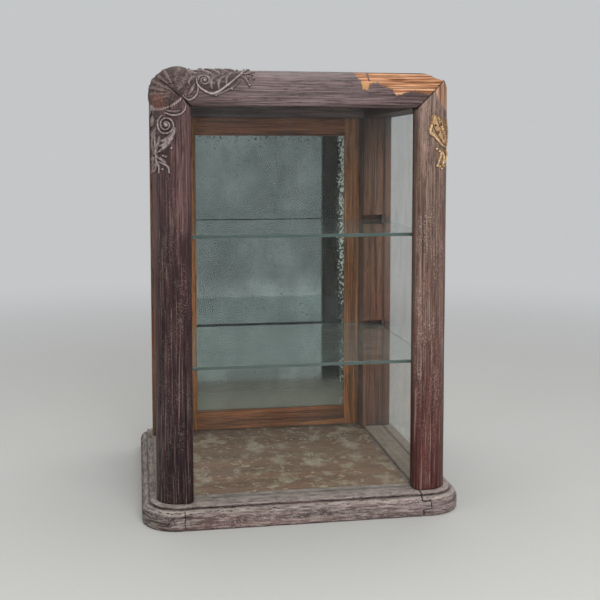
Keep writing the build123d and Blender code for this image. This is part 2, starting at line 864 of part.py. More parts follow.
pieces = {
    "base_front_rail": base_front_rail,
    "base_corner_left": base_corner_left,
    "base_corner_right": base_corner_right,
    "base_side_rail_left": base_side_rail_left,
    "base_side_rail_right": base_side_rail_right,
    "base_back_rail": base_back_rail,
    "base_dowels": base_dowels,
    "floor_panel": floor_panel,
    "floor_cleat_left": floor_cleat_left,
    "floor_cleat_right": floor_cleat_right,
    "side_sill_left": side_sill_left,
    "side_sill_right": side_sill_right,
    "front_post_left": front_post_left,
    "front_post_right": front_post_right,
    "top_front_rail": top_front_rail,
    "top_side_rail_left": top_side_rail_left,
    "top_side_rail_right": top_side_rail_right,
    "rear_header": rear_header,
    "top_panel": top_panel,
    "top_dowels": top_dowels,
    **rear_posts,
    "front_glass": front_glass,
    "side_glass_left": side_glass_left,
    "side_glass_right": side_glass_right,
    "glass_bead_left": glass_bead_left,
    "glass_bead_right": glass_bead_right,
    "glass_bead_top": glass_bead_top,
    **shelves,
    **door_frame,
    "mirror_plate": mirror_plate,
    "mirror_backboard": mirror_backboard,
    "mirror_fillets": mirror_fillets,
    **hinge_leaves,
    **hinge_pins,
    "door_knob": door_knob,
    "turn_button": turn_button,
    "turn_button_screw": turn_button_screw,
    "corner_cap_left": corner_cap_left,
    **ornament,
}

for name, piece in pieces.items():
    piece.part.label = name
    export_step(piece.part, f"parts/{name}.step")
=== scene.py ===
"""Looks of a countertop display case: worn veneer, an oak door with an old mirror, glass and gilt ornament.

Places are millimetres in the object's own frame: the glass front faces -Y, +Z is up and the origin lies on the
resting surface under the middle of the case. The nodes of a material work in metres.
"""

from __future__ import annotations

import logging
import math
from dataclasses import dataclass
from enum import Enum
from functools import partial
from typing import Any, Callable

import bpy
import numpy as np
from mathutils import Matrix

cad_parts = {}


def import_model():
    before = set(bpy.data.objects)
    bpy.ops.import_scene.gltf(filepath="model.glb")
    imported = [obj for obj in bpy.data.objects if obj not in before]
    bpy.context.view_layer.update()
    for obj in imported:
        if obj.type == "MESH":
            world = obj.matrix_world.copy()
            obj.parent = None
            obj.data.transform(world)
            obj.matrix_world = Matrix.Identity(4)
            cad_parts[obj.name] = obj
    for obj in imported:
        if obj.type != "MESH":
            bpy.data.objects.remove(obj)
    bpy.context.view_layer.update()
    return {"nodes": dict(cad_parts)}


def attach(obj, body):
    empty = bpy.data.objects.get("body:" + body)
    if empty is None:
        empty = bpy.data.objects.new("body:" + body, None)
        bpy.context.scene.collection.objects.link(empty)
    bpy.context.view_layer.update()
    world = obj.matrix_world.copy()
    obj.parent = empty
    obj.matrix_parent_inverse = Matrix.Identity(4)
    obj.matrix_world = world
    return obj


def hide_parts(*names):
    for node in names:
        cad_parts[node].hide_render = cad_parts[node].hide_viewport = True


logging.basicConfig(level=logging.INFO, format="%(message)s")
log = logging.getLogger("display_case")

Pair = tuple[float, float]
Place = tuple[float, float, float]
Points = tuple[Pair, ...]
Colour = tuple[float, float, float, float]
Tones = tuple[tuple[float, str], ...]
Put = Callable[..., bpy.types.Node]
Array = np.ndarray

# Setting of a mapping node that eases in and out between its ends
SMOOTH = {"interpolation_type": "SMOOTHSTEP"}


@dataclass(frozen=True)
class Case:
    """Driving sizes of the case, as in the part.

    Attributes:
        opening: Half the width of the front opening.
        head: Height of the opening's top.
        member: Width of a post and of the top rail.
        foot: Height of the base, on which the posts stand.
        face: Depth of the front frame's flat face.
        back: Depth of the front frame's back.
        bend: Radius of the large outer round of a member.
        corner: Radius of the frame's outer corner, seen from the front.
    """

    opening: float = 146.0
    head: float = 535.0
    member: float = 47.0
    foot: float = 29.0
    face: float = -178.5
    back: float = -146.5
    bend: float = 29.0
    corner: float = 34.0


CASE = Case()
OUTER = CASE.opening + CASE.member
TOP = CASE.head + CASE.member
# Axis of the round that runs up a post, and the height of the one along the top rail
BEND_X, BEND_Y, BEND_Z = OUTER - CASE.bend, CASE.face + CASE.bend, TOP - CASE.bend
# Gap between the ends of a section's two halves, so that no two points fall together
SEAM = 0.4


class Grain(Enum):
    """Axis along which a board's fibres run."""

    X = 0
    Y = 1
    Z = 2


def linear(shade: str) -> Colour:
    """Turns an sRGB hex value into linear light.

    Args:
        shade: Six hex digits after a hash.

    Returns:
        Red, green, blue and an alpha of one.
    """
    parts = (int(shade[place : place + 2], 16) / 255 for place in (1, 3, 5))
    red, green, blue = (p / 12.92 if p <= 0.04045 else ((p + 0.055) / 1.055) ** 2.4 for p in parts)
    return (red, green, blue, 1.0)


def set_stops(band: bpy.types.ColorRamp, stops: tuple[tuple[float, Any], ...]) -> None:
    """Gives a ramp its stops: a share, and a hex value or a grey level."""
    band.interpolation = "EASE"
    while len(band.elements) > 1:
        band.elements.remove(band.elements[0])
    for index, (share, shade) in enumerate(stops):
        stop = band.elements[0] if index == 0 else band.elements.new(share)
        stop.position = share
        stop.color = linear(shade) if isinstance(shade, str) else (shade, shade, shade, 1.0)


def add_node(
    tree: bpy.types.NodeTree, kind: str, inputs: dict | None = None, **settings: Any
) -> bpy.types.Node:
    """Adds one node with its settings, values and links.

    Args:
        tree: Node tree that gets the node.
        kind: Blender's name for the node type.
        inputs: Value, node or output socket for each input, by name or place.
        settings: Attributes of the node itself, set before its inputs, or the stops of its ramp.

    Returns:
        The new node. Given as an input it stands for its first live output.
    """
    node = tree.nodes.new(kind)
    for name, value in settings.items():
        if name == "stops":
            set_stops(node.color_ramp, value)
        else:
            setattr(node, name, value)
    for key, value in (inputs or {}).items():
        live = [s for s in node.inputs if s.enabled]
        socket = node.inputs[key] if isinstance(key, int) else next(s for s in live if s.name == key)
        if isinstance(value, bpy.types.Node):
            value = next(s for s in value.outputs if s.enabled)
        if isinstance(value, bpy.types.NodeSocket):
            tree.links.new(value, socket)
        else:
            socket.default_value = value
    return node


def new_material(name: str) -> tuple[bpy.types.Material, Put]:
    """Starts an empty material.

    Args:
        name: The real finish that it stands for.

    Returns:
        The material and the node adder bound to its tree.
    """
    material = bpy.data.materials.new(name)
    material.use_nodes = True
    material.node_tree.nodes.clear()
    return material, partial(add_node, material.node_tree)


def limits(low: float, high: float, start: float = 0.0, end: float = 1.0) -> dict[str, float]:
    """Names a mapping's inputs: between low and high it goes from start to end."""
    return {"From Min": low, "From Max": high, "To Min": start, "To Max": end}


def fibres(put: Put, place: Any, grain: Grain, size: Pair, seed: float) -> bpy.types.Node:
    """Draws noise stretched along the grain: the place over the fibre's width, and over its length along it.

    Args:
        put: Node adder of the material.
        place: Socket with the point in metres.
        grain: Axis of the fibres.
        size: Width and length of one fibre in millimetres.
        seed: Shift that gives each layer its own pattern.

    Returns:
        The noise node.
    """
    width, length = size
    scale = [1000 / width] * 3
    scale[grain.value] = 1000 / length
    moved = (seed, 1.7 * seed, 0.6 * seed)
    mapped = put("ShaderNodeMapping", {"Vector": place, "Location": moved, "Scale": scale})
    return put("ShaderNodeTexNoise", {"Vector": mapped, "Scale": 1.0, "Detail": 3.0, "Roughness": 0.6})


def flecks(
    put: Put, place: Any, grain: Grain, size: Pair, seed: float, cut: Pair, levels: Pair = (0.0, 1.0)
) -> bpy.types.Node:
    """Cuts flecks out of stretched noise, rising smoothly from level to level between the cut's two ends."""
    noise = fibres(put, place, grain, size, seed)
    return put("ShaderNodeMapRange", {"Value": noise, **limits(*cut, *levels)}, **SMOOTH)


def together(put: Put, *masks: Any) -> Any:
    """Multiplies masks in turn, and keeps each result from nought to one."""
    result = masks[0]
    for mask in masks[1:]:
        result = put("ShaderNodeMath", {0: result, 1: mask}, operation="MULTIPLY", use_clamp=True)
    return result


def coat(put: Put, under: Any, over: Any, *masks: Any) -> bpy.types.NodeSocket:
    """Lays one colour over another, each a hex value or a socket, where all the masks say so."""
    low, high = (linear(shade) if isinstance(shade, str) else shade for shade in (under, over))
    mixed = put("ShaderNodeMix", {"Factor": together(put, *masks), "A": low, "B": high}, data_type="RGBA")
    return mixed.outputs[2]


def seen_plainly(put: Put) -> bpy.types.NodeSocket:
    """Gives one where the camera looks straight, by reflection or through glass, and nought for other light."""
    path = put("ShaderNodeLightPath")
    seen = path.outputs["Is Camera Ray"]
    for name in ("Is Glossy Ray", "Is Transmission Ray"):
        seen = put("ShaderNodeMath", {0: seen, 1: path.outputs[name]}, operation="MAXIMUM").outputs[0]
    return seen


@dataclass(frozen=True)
class WoodFinish:
    """Stained wood with its grain, pores, scratches, dried varnish specks and dust, and painted shade in its
    corners.

    Attributes:
        name: The real finish.
        grain: Axis of the fibres.
        tones: Share of the span and the colour there.
        span: Axis, start and end in millimetres of the line along which the tones run.
        pore: Colour of the open pores.
        figure: Width of the broad figure in millimetres.
        contrast: How far the figure lightens and darkens the tone.
        pores: Strength of the pores.
        scratch: Colour of the long pale scratches.
        scratches: Strength of the scratches.
        speck: Colour of the varnish specks.
        specks: Share of the span and the strength of the specks there.
        dust: Colour of the dust on faces that look up.
        dusty: Strength of the dust.
        mottle: Strength of the crust of dust that lies in blotches.
        blotch: Size of those blotches across and along the run, in millimetres.
        scuffs: Strength of thin curved scuffs, and how far the blotches break up into powder.
        crevice: Strength of the painted shade in the corners.
        rough: Roughness of the varnish.
        follows: True where the fibres follow the piece's own run and not the object's axes.
        seed: Shift of the whole pattern.
        fresh: Share and colour of the bare wood, from its dark fibres to its pale ones.
        chipped: Colour of the yellow wood under a chip.
    """

    name: str
    grain: Grain
    tones: Tones
    span: tuple[int, float, float] = (2, 0.0, TOP)
    pore: str = "#170d0c"
    figure: float = 9.0
    contrast: float = 0.5
    pores: float = 0.7
    scratch: str = "#8d7a70"
    scratches: float = 0.35
    speck: str = "#8d7b72"
    specks: Points = ((0.0, 0.0),)
    dust: str = "#a39a92"
    dusty: float = 0.0
    mottle: float = 0.0
    blotch: Pair = (2.4, 13.0)
    scuffs: float = 0.0
    crevice: float = 0.6
    rough: float = 0.5
    follows: bool = False
    seed: float = 0.0
    fresh: Tones = ((0.0, "#6f4630"), (0.35, "#a06f50"), (0.7, "#bd8c69"), (1.0, "#d3a37f"))
    chipped: str = "#b98d5f"

    def waver(self, put: Put, drawn: bpy.types.NodeSocket) -> bpy.types.NodeSocket:
        """Pushes the place sideways by up to 3 mm over 120 mm, so that the fibres aren't ruled lines."""
        noise = put("ShaderNodeTexNoise", {"Vector": drawn, "Scale": 8.0, "Detail": 1.0})
        middle = {0: noise.outputs["Color"], 1: (0.5, 0.5, 0.5)}
        centred = put("ShaderNodeVectorMath", middle, operation="SUBTRACT")
        push = put("ShaderNodeVectorMath", {0: centred, "Scale": 0.006}, operation="SCALE")
        return put("ShaderNodeVectorMath", {0: drawn, 1: push}, operation="ADD").outputs[0]

    def lay_dust(self, put: Put, drawn: bpy.types.NodeSocket, colour: Any) -> tuple[Any, bpy.types.Node]:
        """Lays the dust: a crust in blotches, scuffs through it, and a film on the faces that look up.

        Args:
            put: Node adder of the material.
            drawn: Socket with the place along the piece's run.
            colour: Colour under the dust.

        Returns:
            The colour with its dust, and the film's mask.
        """
        lying = partial(flecks, put, drawn, Grain.X)
        blotch = lying(self.blotch, self.seed + 9, (0.42 + 0.1 * self.scuffs, 0.66))
        powder = lying((2.4, 2.8), self.seed + 10, (0.38, 0.6), (1 - self.scuffs, 1.0))
        colour = coat(put, colour, self.dust, blotch, powder, self.mottle)
        # A scuff runs where a broad field crosses its middle, and a finer field breaks it up
        field = fibres(put, drawn, Grain.X, (34.0, 46.0), self.seed + 11)
        sweep = put("ShaderNodeMath", {0: field, 1: 0.5}, operation="SUBTRACT")
        off = put("ShaderNodeMath", {0: sweep}, operation="ABSOLUTE")
        narrow = put("ShaderNodeMapRange", {"Value": off, **limits(0.006, 0.022, 1.0, 0.0)}, **SMOOTH)
        broken = lying((13.0, 11.0), self.seed + 12, (0.5, 0.58))
        colour = coat(put, colour, self.dust, narrow, broken, self.scuffs)
        facing = put("ShaderNodeSeparateXYZ", {"Vector": put("ShaderNodeNewGeometry").outputs["Normal"]})
        settled = put("ShaderNodeMapRange", {"Value": facing.outputs["Z"], **limits(0.45, 0.95)}, **SMOOTH)
        patches = lying((9.0, 16.0), self.seed + 7, (0.3, 0.7), (0.3, 1.0))
        film = together(put, settled, patches, self.dusty)
        return coat(put, colour, self.dust, film), film

    def dress(self) -> bpy.types.Material:
        """Builds the material: tones along the span, times the figure, under pores, scratches, specks and dust.

        The piece's own values, where it has them, add dark joint lines and painted shade in grooves, bare wood
        and yellow wood under a chip.

        Returns:
            The material.
        """
        material, put = new_material(self.name)
        point = put("ShaderNodeTexCoord").outputs["Object"]
        drawn = put("ShaderNodeAttribute", attribute_name="flow").outputs["Vector"] if self.follows else point
        place = self.waver(put, drawn)
        axis, start, end = self.span
        line = put("ShaderNodeSeparateXYZ", {"Vector": point}).outputs[axis]
        share = put("ShaderNodeMapRange", {"Value": line, **limits(start / 1000, end / 1000)})
        tone = put("ShaderNodeValToRGB", {"Fac": share}, stops=self.tones)
        broad = fibres(put, place, self.grain, (self.figure, 22 * self.figure), self.seed)
        lines = fibres(put, place, self.grain, (2.0, 100.0), self.seed + 1)
        mixed = put("ShaderNodeMath", {0: broad, 1: lines}, operation="ADD")
        lighter = limits(0.8, 1.2, 1 - self.contrast, 1 + self.contrast)
        shade = put("ShaderNodeMapRange", {"Value": mixed, **lighter}, **SMOOTH)
        colour = put("ShaderNodeVectorMath", {0: tone, "Scale": shade}, operation="SCALE").outputs[0]
        # Real pores are 0.3 mm wide, drawn 1.1 mm wide so that they show
        pore = flecks(put, place, self.grain, (1.1, 16.0), self.seed + 2, (0.52, 0.68))
        colour = coat(put, colour, self.pore, pore, self.pores)
        scratch = flecks(put, place, self.grain, (1.4, 150.0), self.seed + 3, (0.56, 0.68))
        colour = coat(put, colour, self.scratch, scratch, self.scratches)
        # Dried varnish stands in specks about 1.5 mm across
        crazed = flecks(put, drawn, self.grain, (1.7, 1.6), self.seed + 4, (0.5, 0.64))
        patchy = flecks(put, drawn, self.grain, (14.0, 40.0), self.seed + 6, (0.35, 0.65))
        density = put("ShaderNodeValToRGB", {"Fac": share}, stops=self.specks)
        speck = together(put, crazed, patchy, density)
        colour = coat(put, colour, self.speck, speck)
        colour, film = self.lay_dust(put, drawn, colour)
        # Painted shade: the wood darkens within 5 mm of a corner, as far as other surfaces close it in
        shut = put("ShaderNodeAmbientOcclusion", {"Distance": 0.005}, samples=4, only_local=False)
        deep = {"Value": shut.outputs["AO"], **limits(0.35, 0.95, self.crevice, 0.0)}
        corner = put("ShaderNodeMapRange", deep, **SMOOTH)
        marks = ("groove", "bare", "chip")
        groove, bare, chip = (put("ShaderNodeAttribute", attribute_name=mark).outputs["Fac"] for mark in marks)
        dirt = put("ShaderNodeMath", {0: corner, 1: groove}, operation="MAXIMUM")
        paler = put("ShaderNodeMapRange", {"Value": lines, **limits(0.36, 0.64)}, **SMOOTH)
        fresh = put("ShaderNodeValToRGB", {"Fac": paler}, stops=self.fresh)
        colour = coat(put, colour, coat(put, fresh, self.chipped, chip), bare)
        # Dark joint lines, and painted shade in corners and grooves, in the colour of the pores
        colour = coat(put, colour, self.pore, dirt)
        raised = put("ShaderNodeMath", {0: speck, 1: pore}, operation="SUBTRACT").outputs[0]
        gloss = {"Value": mixed, **limits(0.8, 1.2, self.rough - 0.08, self.rough + 0.12)}
        matt = put("ShaderNodeMath", {0: film, 1: bare}, operation="MAXIMUM")
        dull = {0: put("ShaderNodeMapRange", gloss, **SMOOTH), 1: matt}
        wood = {
            "Base Color": colour,
            "Roughness": put("ShaderNodeMath", dull, operation="MAXIMUM"),
            "Normal": put("ShaderNodeBump", {"Strength": 0.6, "Distance": 0.0005, "Height": raised}),
            "IOR": 1.5,
            # Dried out varnish mirrors about half as much as a fresh coat
            "Specular IOR Level": 0.25,
        }
        put("ShaderNodeOutputMaterial", {"Surface": put("ShaderNodeBsdfPrincipled", wood)})
        return material


@dataclass(frozen=True)
class GlassFinish:
    """Soda-lime sheet glass with a thin film of dust and a green cut edge.

    Attributes:
        name: The real finish.
        clear: Colour of the clean faces.
        edge: Colour of the cut edge.
        dust: Colour of the film.
        dusty: Strength of the film.
        lit_edge: True where the cut edge shows.
        index: Refractive index: the real 1.52, but far less on the front, which mirrors hardly anything.
    """

    name: str
    clear: str = "#fbfdfc"
    edge: str = "#0d2f29"
    dust: str = "#8b8f8b"
    dusty: float = 0.06
    lit_edge: bool = False
    index: float = 1.52

    def dress(self) -> bpy.types.Material:
        """Builds the material: clear glass that lets lamps through, with dust as a thin matt share of it.

        Returns:
            The material.
        """
        material, put = new_material(self.name)
        point = put("ShaderNodeTexCoord").outputs["Object"]
        smear = flecks(put, point, Grain.Z, (26.0, 70.0), 3.0, (0.35, 0.7), (0.3 * self.dusty, self.dusty))
        solid, colour = smear, coat(put, self.clear, self.dust, smear)
        if self.lit_edge:
            normal = put("ShaderNodeNewGeometry").outputs["Normal"]
            upright = put("ShaderNodeSeparateXYZ", {"Vector": normal}).outputs["Z"]
            steep = put("ShaderNodeMath", {0: upright}, operation="ABSOLUTE")
            side = put("ShaderNodeMapRange", {"Value": steep, **limits(0.3, 0.8, 0.95, 0.0)}, **SMOOTH)
            colour = coat(put, colour, self.edge, side)
            solid = put("ShaderNodeMath", {0: smear, 1: side}, operation="MAXIMUM")
        passing = put("ShaderNodeMath", {0: 1.0, 1: solid}, operation="SUBTRACT")
        glass = {"Base Color": colour, "Transmission Weight": passing, "Roughness": 0.02, "IOR": self.index}
        sheet = put("ShaderNodeBsdfPrincipled", glass)
        path = put("ShaderNodeLightPath")
        veiled = {0: path.outputs["Is Shadow Ray"], 1: path.outputs["Is Diffuse Ray"]}
        lamp = put("ShaderNodeMath", veiled, operation="MAXIMUM")
        open_way = put("ShaderNodeBsdfTransparent", {"Color": linear(self.clear)})
        shader = put("ShaderNodeMixShader", {0: lamp, 1: sheet, 2: open_way})
        put("ShaderNodeOutputMaterial", {"Surface": shader})
        return material


@dataclass(frozen=True)
class MirrorFinish:
    """Old silvered glass, tarnished to a grey green, with foxing where the silver has lifted.

    Attributes:
        name: The real finish.
        silver: Colour of the clearer silver.
        tarnish: Colour of the tarnished silver.
        haze: Colour of the film on the glass.
        fleck: Colour of the lifted silver.
        loss: Colour of the backing that shows where the silver has gone.
        half_width: Half the visible width in millimetres.
        low: Lower edge of the visible glass in millimetres.
        high: Upper edge of the visible glass in millimetres.
    """

    name: str
    silver: str = "#8b9896"
    tarnish: str = "#6d7979"
    haze: str = "#a09883"
    fleck: str = "#c3c9c2"
    loss: str = "#2b2a26"
    half_width: float = 121.0
    low: float = 61.5
    high: float = 506.0

    def dress(self) -> bpy.types.Material:
        """Builds the material: clouded metal under glass, hazy at its foot, with foxing down its right edge.

        Returns:
            The material.
        """
        material, put = new_material(self.name)
        point = put("ShaderNodeTexCoord").outputs["Object"]
        cloud = flecks(put, point, Grain.Z, (60.0, 75.0), 1.0, (0.3, 0.7))
        colour = coat(put, self.silver, self.tarnish, cloud)
        axes = put("ShaderNodeSeparateXYZ", {"Vector": point})
        # Foxing spots of 1.5 to 3 mm crowd the last 16 mm of the right edge and thin out along the top
        bands = (
            ("X", limits((self.half_width - 19) / 1000, (self.half_width - 2) / 1000)),
            ("Z", limits((self.high - 16) / 1000, self.high / 1000, 0.0, 0.3)),
            ("Z", limits(0.20, 0.34, 0.55, 1.0)),
            ("Z", limits(self.low / 1000, 0.13, 0.4, 0.0)),
        )
        right, top, upper, foot = (
            put("ShaderNodeMapRange", {"Value": axes.outputs[axis], **band}, **SMOOTH) for axis, band in bands
        )
        fine = fibres(put, point, Grain.Z, (2.4, 3.0), 2.0)
        rim = put("ShaderNodeMath", {0: together(put, right, upper), 1: top}, operation="MAXIMUM")
        spotted = put("ShaderNodeMath", {0: fine, 1: together(put, rim, 0.3)}, operation="ADD")
        lost, lifted = (
            put("ShaderNodeMapRange", {"Value": spotted, **limits(*cut)}, **SMOOTH)
            for cut in ((0.62, 0.72), (0.76, 0.82))
        )
        colour = coat(put, coat(put, colour, self.loss, lost), self.fleck, lifted)
        film = put("ShaderNodeMath", {0: foot, 1: together(put, cloud, 0.05)}, operation="ADD")
        colour = coat(put, colour, self.haze, film)
        worn = put("ShaderNodeMath", {0: film, 1: lost}, operation="MAXIMUM")
        glass = {
            "Base Color": colour,
            "Metallic": put("ShaderNodeMath", {0: 0.98, 1: worn}, operation="SUBTRACT", use_clamp=True),
            "Roughness": put("ShaderNodeMath", {0: together(put, worn, 0.3), 1: 0.02}, operation="ADD"),
            "Coat Weight": 0.3,
            "Coat Roughness": 0.03,
        }
        put("ShaderNodeOutputMaterial", {"Surface": put("ShaderNodeBsdfPrincipled", glass)})
        return material


@dataclass(frozen=True)
class MetalFinish:
    """Cast or drawn metal gone dull in the hollows.

    Attributes:
        name: The real finish.
        bright: Colour of the rubbed metal.
        dull: Colour of the tarnish.
        rough: Roughness of the rubbed metal.
    """

    name: str
    bright: str
    dull: str
    rough: float = 0.32

    def dress(self) -> bpy.types.Material:
        """Builds the material: metal whose tarnish follows slow noise of 6 mm.

        Returns:
            The material.
        """
        material, put = new_material(self.name)
        point = put("ShaderNodeTexCoord").outputs["Object"]
        patch = flecks(put, point, Grain.Z, (6.0, 6.0), 4.0, (0.35, 0.68))
        duller = {"Value": patch, **limits(0.0, 1.0, self.rough, self.rough + 0.25)}
        metal = {
            "Base Color": coat(put, self.bright, self.dull, patch),
            "Metallic": 1.0,
            "Roughness": put("ShaderNodeMapRange", duller, **SMOOTH),
            "Normal": put("ShaderNodeBump", {"Strength": 0.2, "Distance": 0.0002, "Height": patch}),
        }
        put("ShaderNodeOutputMaterial", {"Surface": put("ShaderNodeBsdfPrincipled", metal)})
        return material


@dataclass(frozen=True)
class CompositionFinish:
    """Pressed composition gone brown: crests pale from rubbing and a painted highlight, hollows dark from grime
    and painted shade.

    Attributes:
        name: The real finish.
        hollow: Colour in the hollows: grime, with painted shade.
        body: Colour of the cast surface.
        crest: Colour of the crests: rubbed pale, with a painted highlight.
        patch: Colour of the bare red ground.
        patch_at: Middle of the bare ground in millimetres.
        patch_size: Radius of the bare ground in millimetres.
        rough: Roughness.
    """

    name: str
    hollow: str = "#362826"
    body: str = "#6a5b59"
    crest: str = "#a39897"
    patch: str = "#684236"
    patch_at: Place = (0.0, 0.0, 0.0)
    patch_size: float = 0.0
    rough: float = 0.5

    def dress(self) -> bpy.types.Material:
        """Builds the material: tone by the height of the relief, unsettled by noise of 3 mm.

        Returns:
            The material.
        """
        material, put = new_material(self.name)
        point = put("ShaderNodeTexCoord").outputs["Object"]
        rise = put("ShaderNodeAttribute", attribute_name="rise", attribute_type="GEOMETRY").outputs["Fac"]
        blotch = fibres(put, point, Grain.X, (3.2, 3.6), 5.0)
        shift = put("ShaderNodeMapRange", {"Value": blotch, **limits(0.3, 0.7, -0.14, 0.14)}, **SMOOTH)
        unsettled = put("ShaderNodeMath", {0: rise, 1: shift}, operation="ADD")
        # By the height of the relief: grime and painted shade in the hollows, wear and a painted highlight on
        # the crests
        colour = self.hollow
        for shade, *cut in ((self.body, 0.08, 0.42), (self.crest, 0.5, 0.86)):
            higher = put("ShaderNodeMapRange", {"Value": unsettled, **limits(*cut)}, **SMOOTH)
            colour = coat(put, colour, shade, higher)
        if self.patch_size:
            centre = [value / 1000 for value in self.patch_at]
            away = put("ShaderNodeVectorMath", {0: point, 1: centre}, operation="DISTANCE").outputs["Value"]
            size = self.patch_size / 1000
            near = put("ShaderNodeMapRange", {"Value": away, **limits(0.45 * size, size, 1.0, 0.0)}, **SMOOTH)
            ragged = put("ShaderNodeMapRange", {"Value": blotch, **limits(0.34, 0.56)}, **SMOOTH)
            colour = coat(put, colour, self.patch, near, ragged, 0.85)
        polished = {"Value": unsettled, **limits(0.2, 0.9, self.rough + 0.15, self.rough - 0.1)}
        cast = {
            "Base Color": colour,
            "Roughness": put("ShaderNodeMapRange", polished, **SMOOTH),
            "Normal": put("ShaderNodeBump", {"Strength": 0.35, "Distance": 0.0004, "Height": blotch}),
            "IOR": 1.5,
        }
        put("ShaderNodeOutputMaterial", {"Surface": put("ShaderNodeBsdfPrincipled", cast)})
        return material


def smooth_line(points: Points, steps: int = 6) -> Array:
    """Runs a smooth line through points: cubic spans whose end slopes are half the step between neighbours.

    Args:
        points: Places to pass through.
        steps: Places computed on each span.

    Returns:
        Places along the line, one row each.
    """
    knots = np.array(points, float)
    ends = np.vstack([2 * knots[0] - knots[1], knots, 2 * knots[-1] - knots[-2]])
    share = np.linspace(0, len(knots) - 1, steps * (len(knots) - 1) + 1)
    span = np.minimum(share.astype(int), len(knots) - 2)
    t = (share - span)[:, None]
    before, start, end, after = (ends[span + shift] for shift in range(4))
    bend = 2 * start + (end - before) * t + (2 * before - 5 * start + 4 * end - after) * t**2
    return 0.5 * (bend + (3 * start - before - 3 * end + after) * t**3)


def spiral(centre: Pair, radius: float, turns: float, start: float, core: float = 0.22) -> Points:
    """Winds a line inwards: the radius falls evenly with the angle, from the outer radius to a share of it.

    Args:
        centre: Middle of the volute in millimetres.
        radius: Outer radius in millimetres.
        turns: Turns wound, negative for clockwise.
        start: Angle of the outer end in degrees from the first axis.
        core: Share of the radius that is left at the eye.

    Returns:
        Places along the line, from the outer end in.
    """
    share = np.linspace(0, 1, max(7, int(10 * abs(turns))))
    angle = np.radians(start + 360 * turns * share)
    reach = radius * (1 - (1 - core) * share)
    places = np.stack([centre[0] + reach * np.cos(angle), centre[1] + reach * np.sin(angle)], axis=1)
    return tuple(map(tuple, places.tolist()))


def arc(centre: Pair, radius: float, start: float, end: float) -> Points:
    """Gives twelve points on an arc, between two angles in degrees."""
    angle = np.radians(np.linspace(start, end, 12))
    places = np.stack([centre[0] + radius * np.cos(angle), centre[1] + radius * np.sin(angle)], -1)
    return tuple(map(tuple, places.tolist()))


def spread(line: Points, count: int) -> tuple[Array, Array]:
    """Spaces points evenly along a line of straight runs and arcs already cut fine.

    Args:
        line: Corners of the line.
        count: Points wanted.

    Returns:
        The points, and the distance run to each.
    """
    corners = np.array(line, float)
    run = np.concatenate([[0.0], np.cumsum(np.hypot(*np.diff(corners, axis=0).T))])
    wanted = np.linspace(0, run[-1], count)
    return np.stack([np.interp(wanted, run, corners[:, axis]) for axis in range(2)], axis=-1), wanted


def rightward(line: Array) -> Array:
    """Gives the direction to the right of a line at each of its points: its slope turned back a quarter."""
    slope = np.gradient(line, axis=0)
    slope /= np.hypot(slope[:, 0], slope[:, 1])[:, None]
    return np.stack([slope[:, 1], -slope[:, 0]], -1)


def swell(first: Array, second: Array, scales: Pair, seed: int, count: int = 10) -> Array:
    """Adds seeded sine waves of two coordinates and divides by their number.

    Args:
        first: First coordinate in millimetres.
        second: Second coordinate in millimetres.
        scales: Shortest wave along each coordinate in millimetres.
        seed: Seed of the directions and phases.
        count: Number of waves.

    Returns:
        A smooth field around nought.
    """
    chance = np.random.default_rng(seed)
    waves = chance.uniform(-1, 1, (count, 2)) * 2 * np.pi / np.array(scales)
    phases = chance.uniform(0, 2 * np.pi, count)
    return np.sin(first[..., None] * waves[:, 0] + second[..., None] * waves[:, 1] + phases).mean(axis=-1)


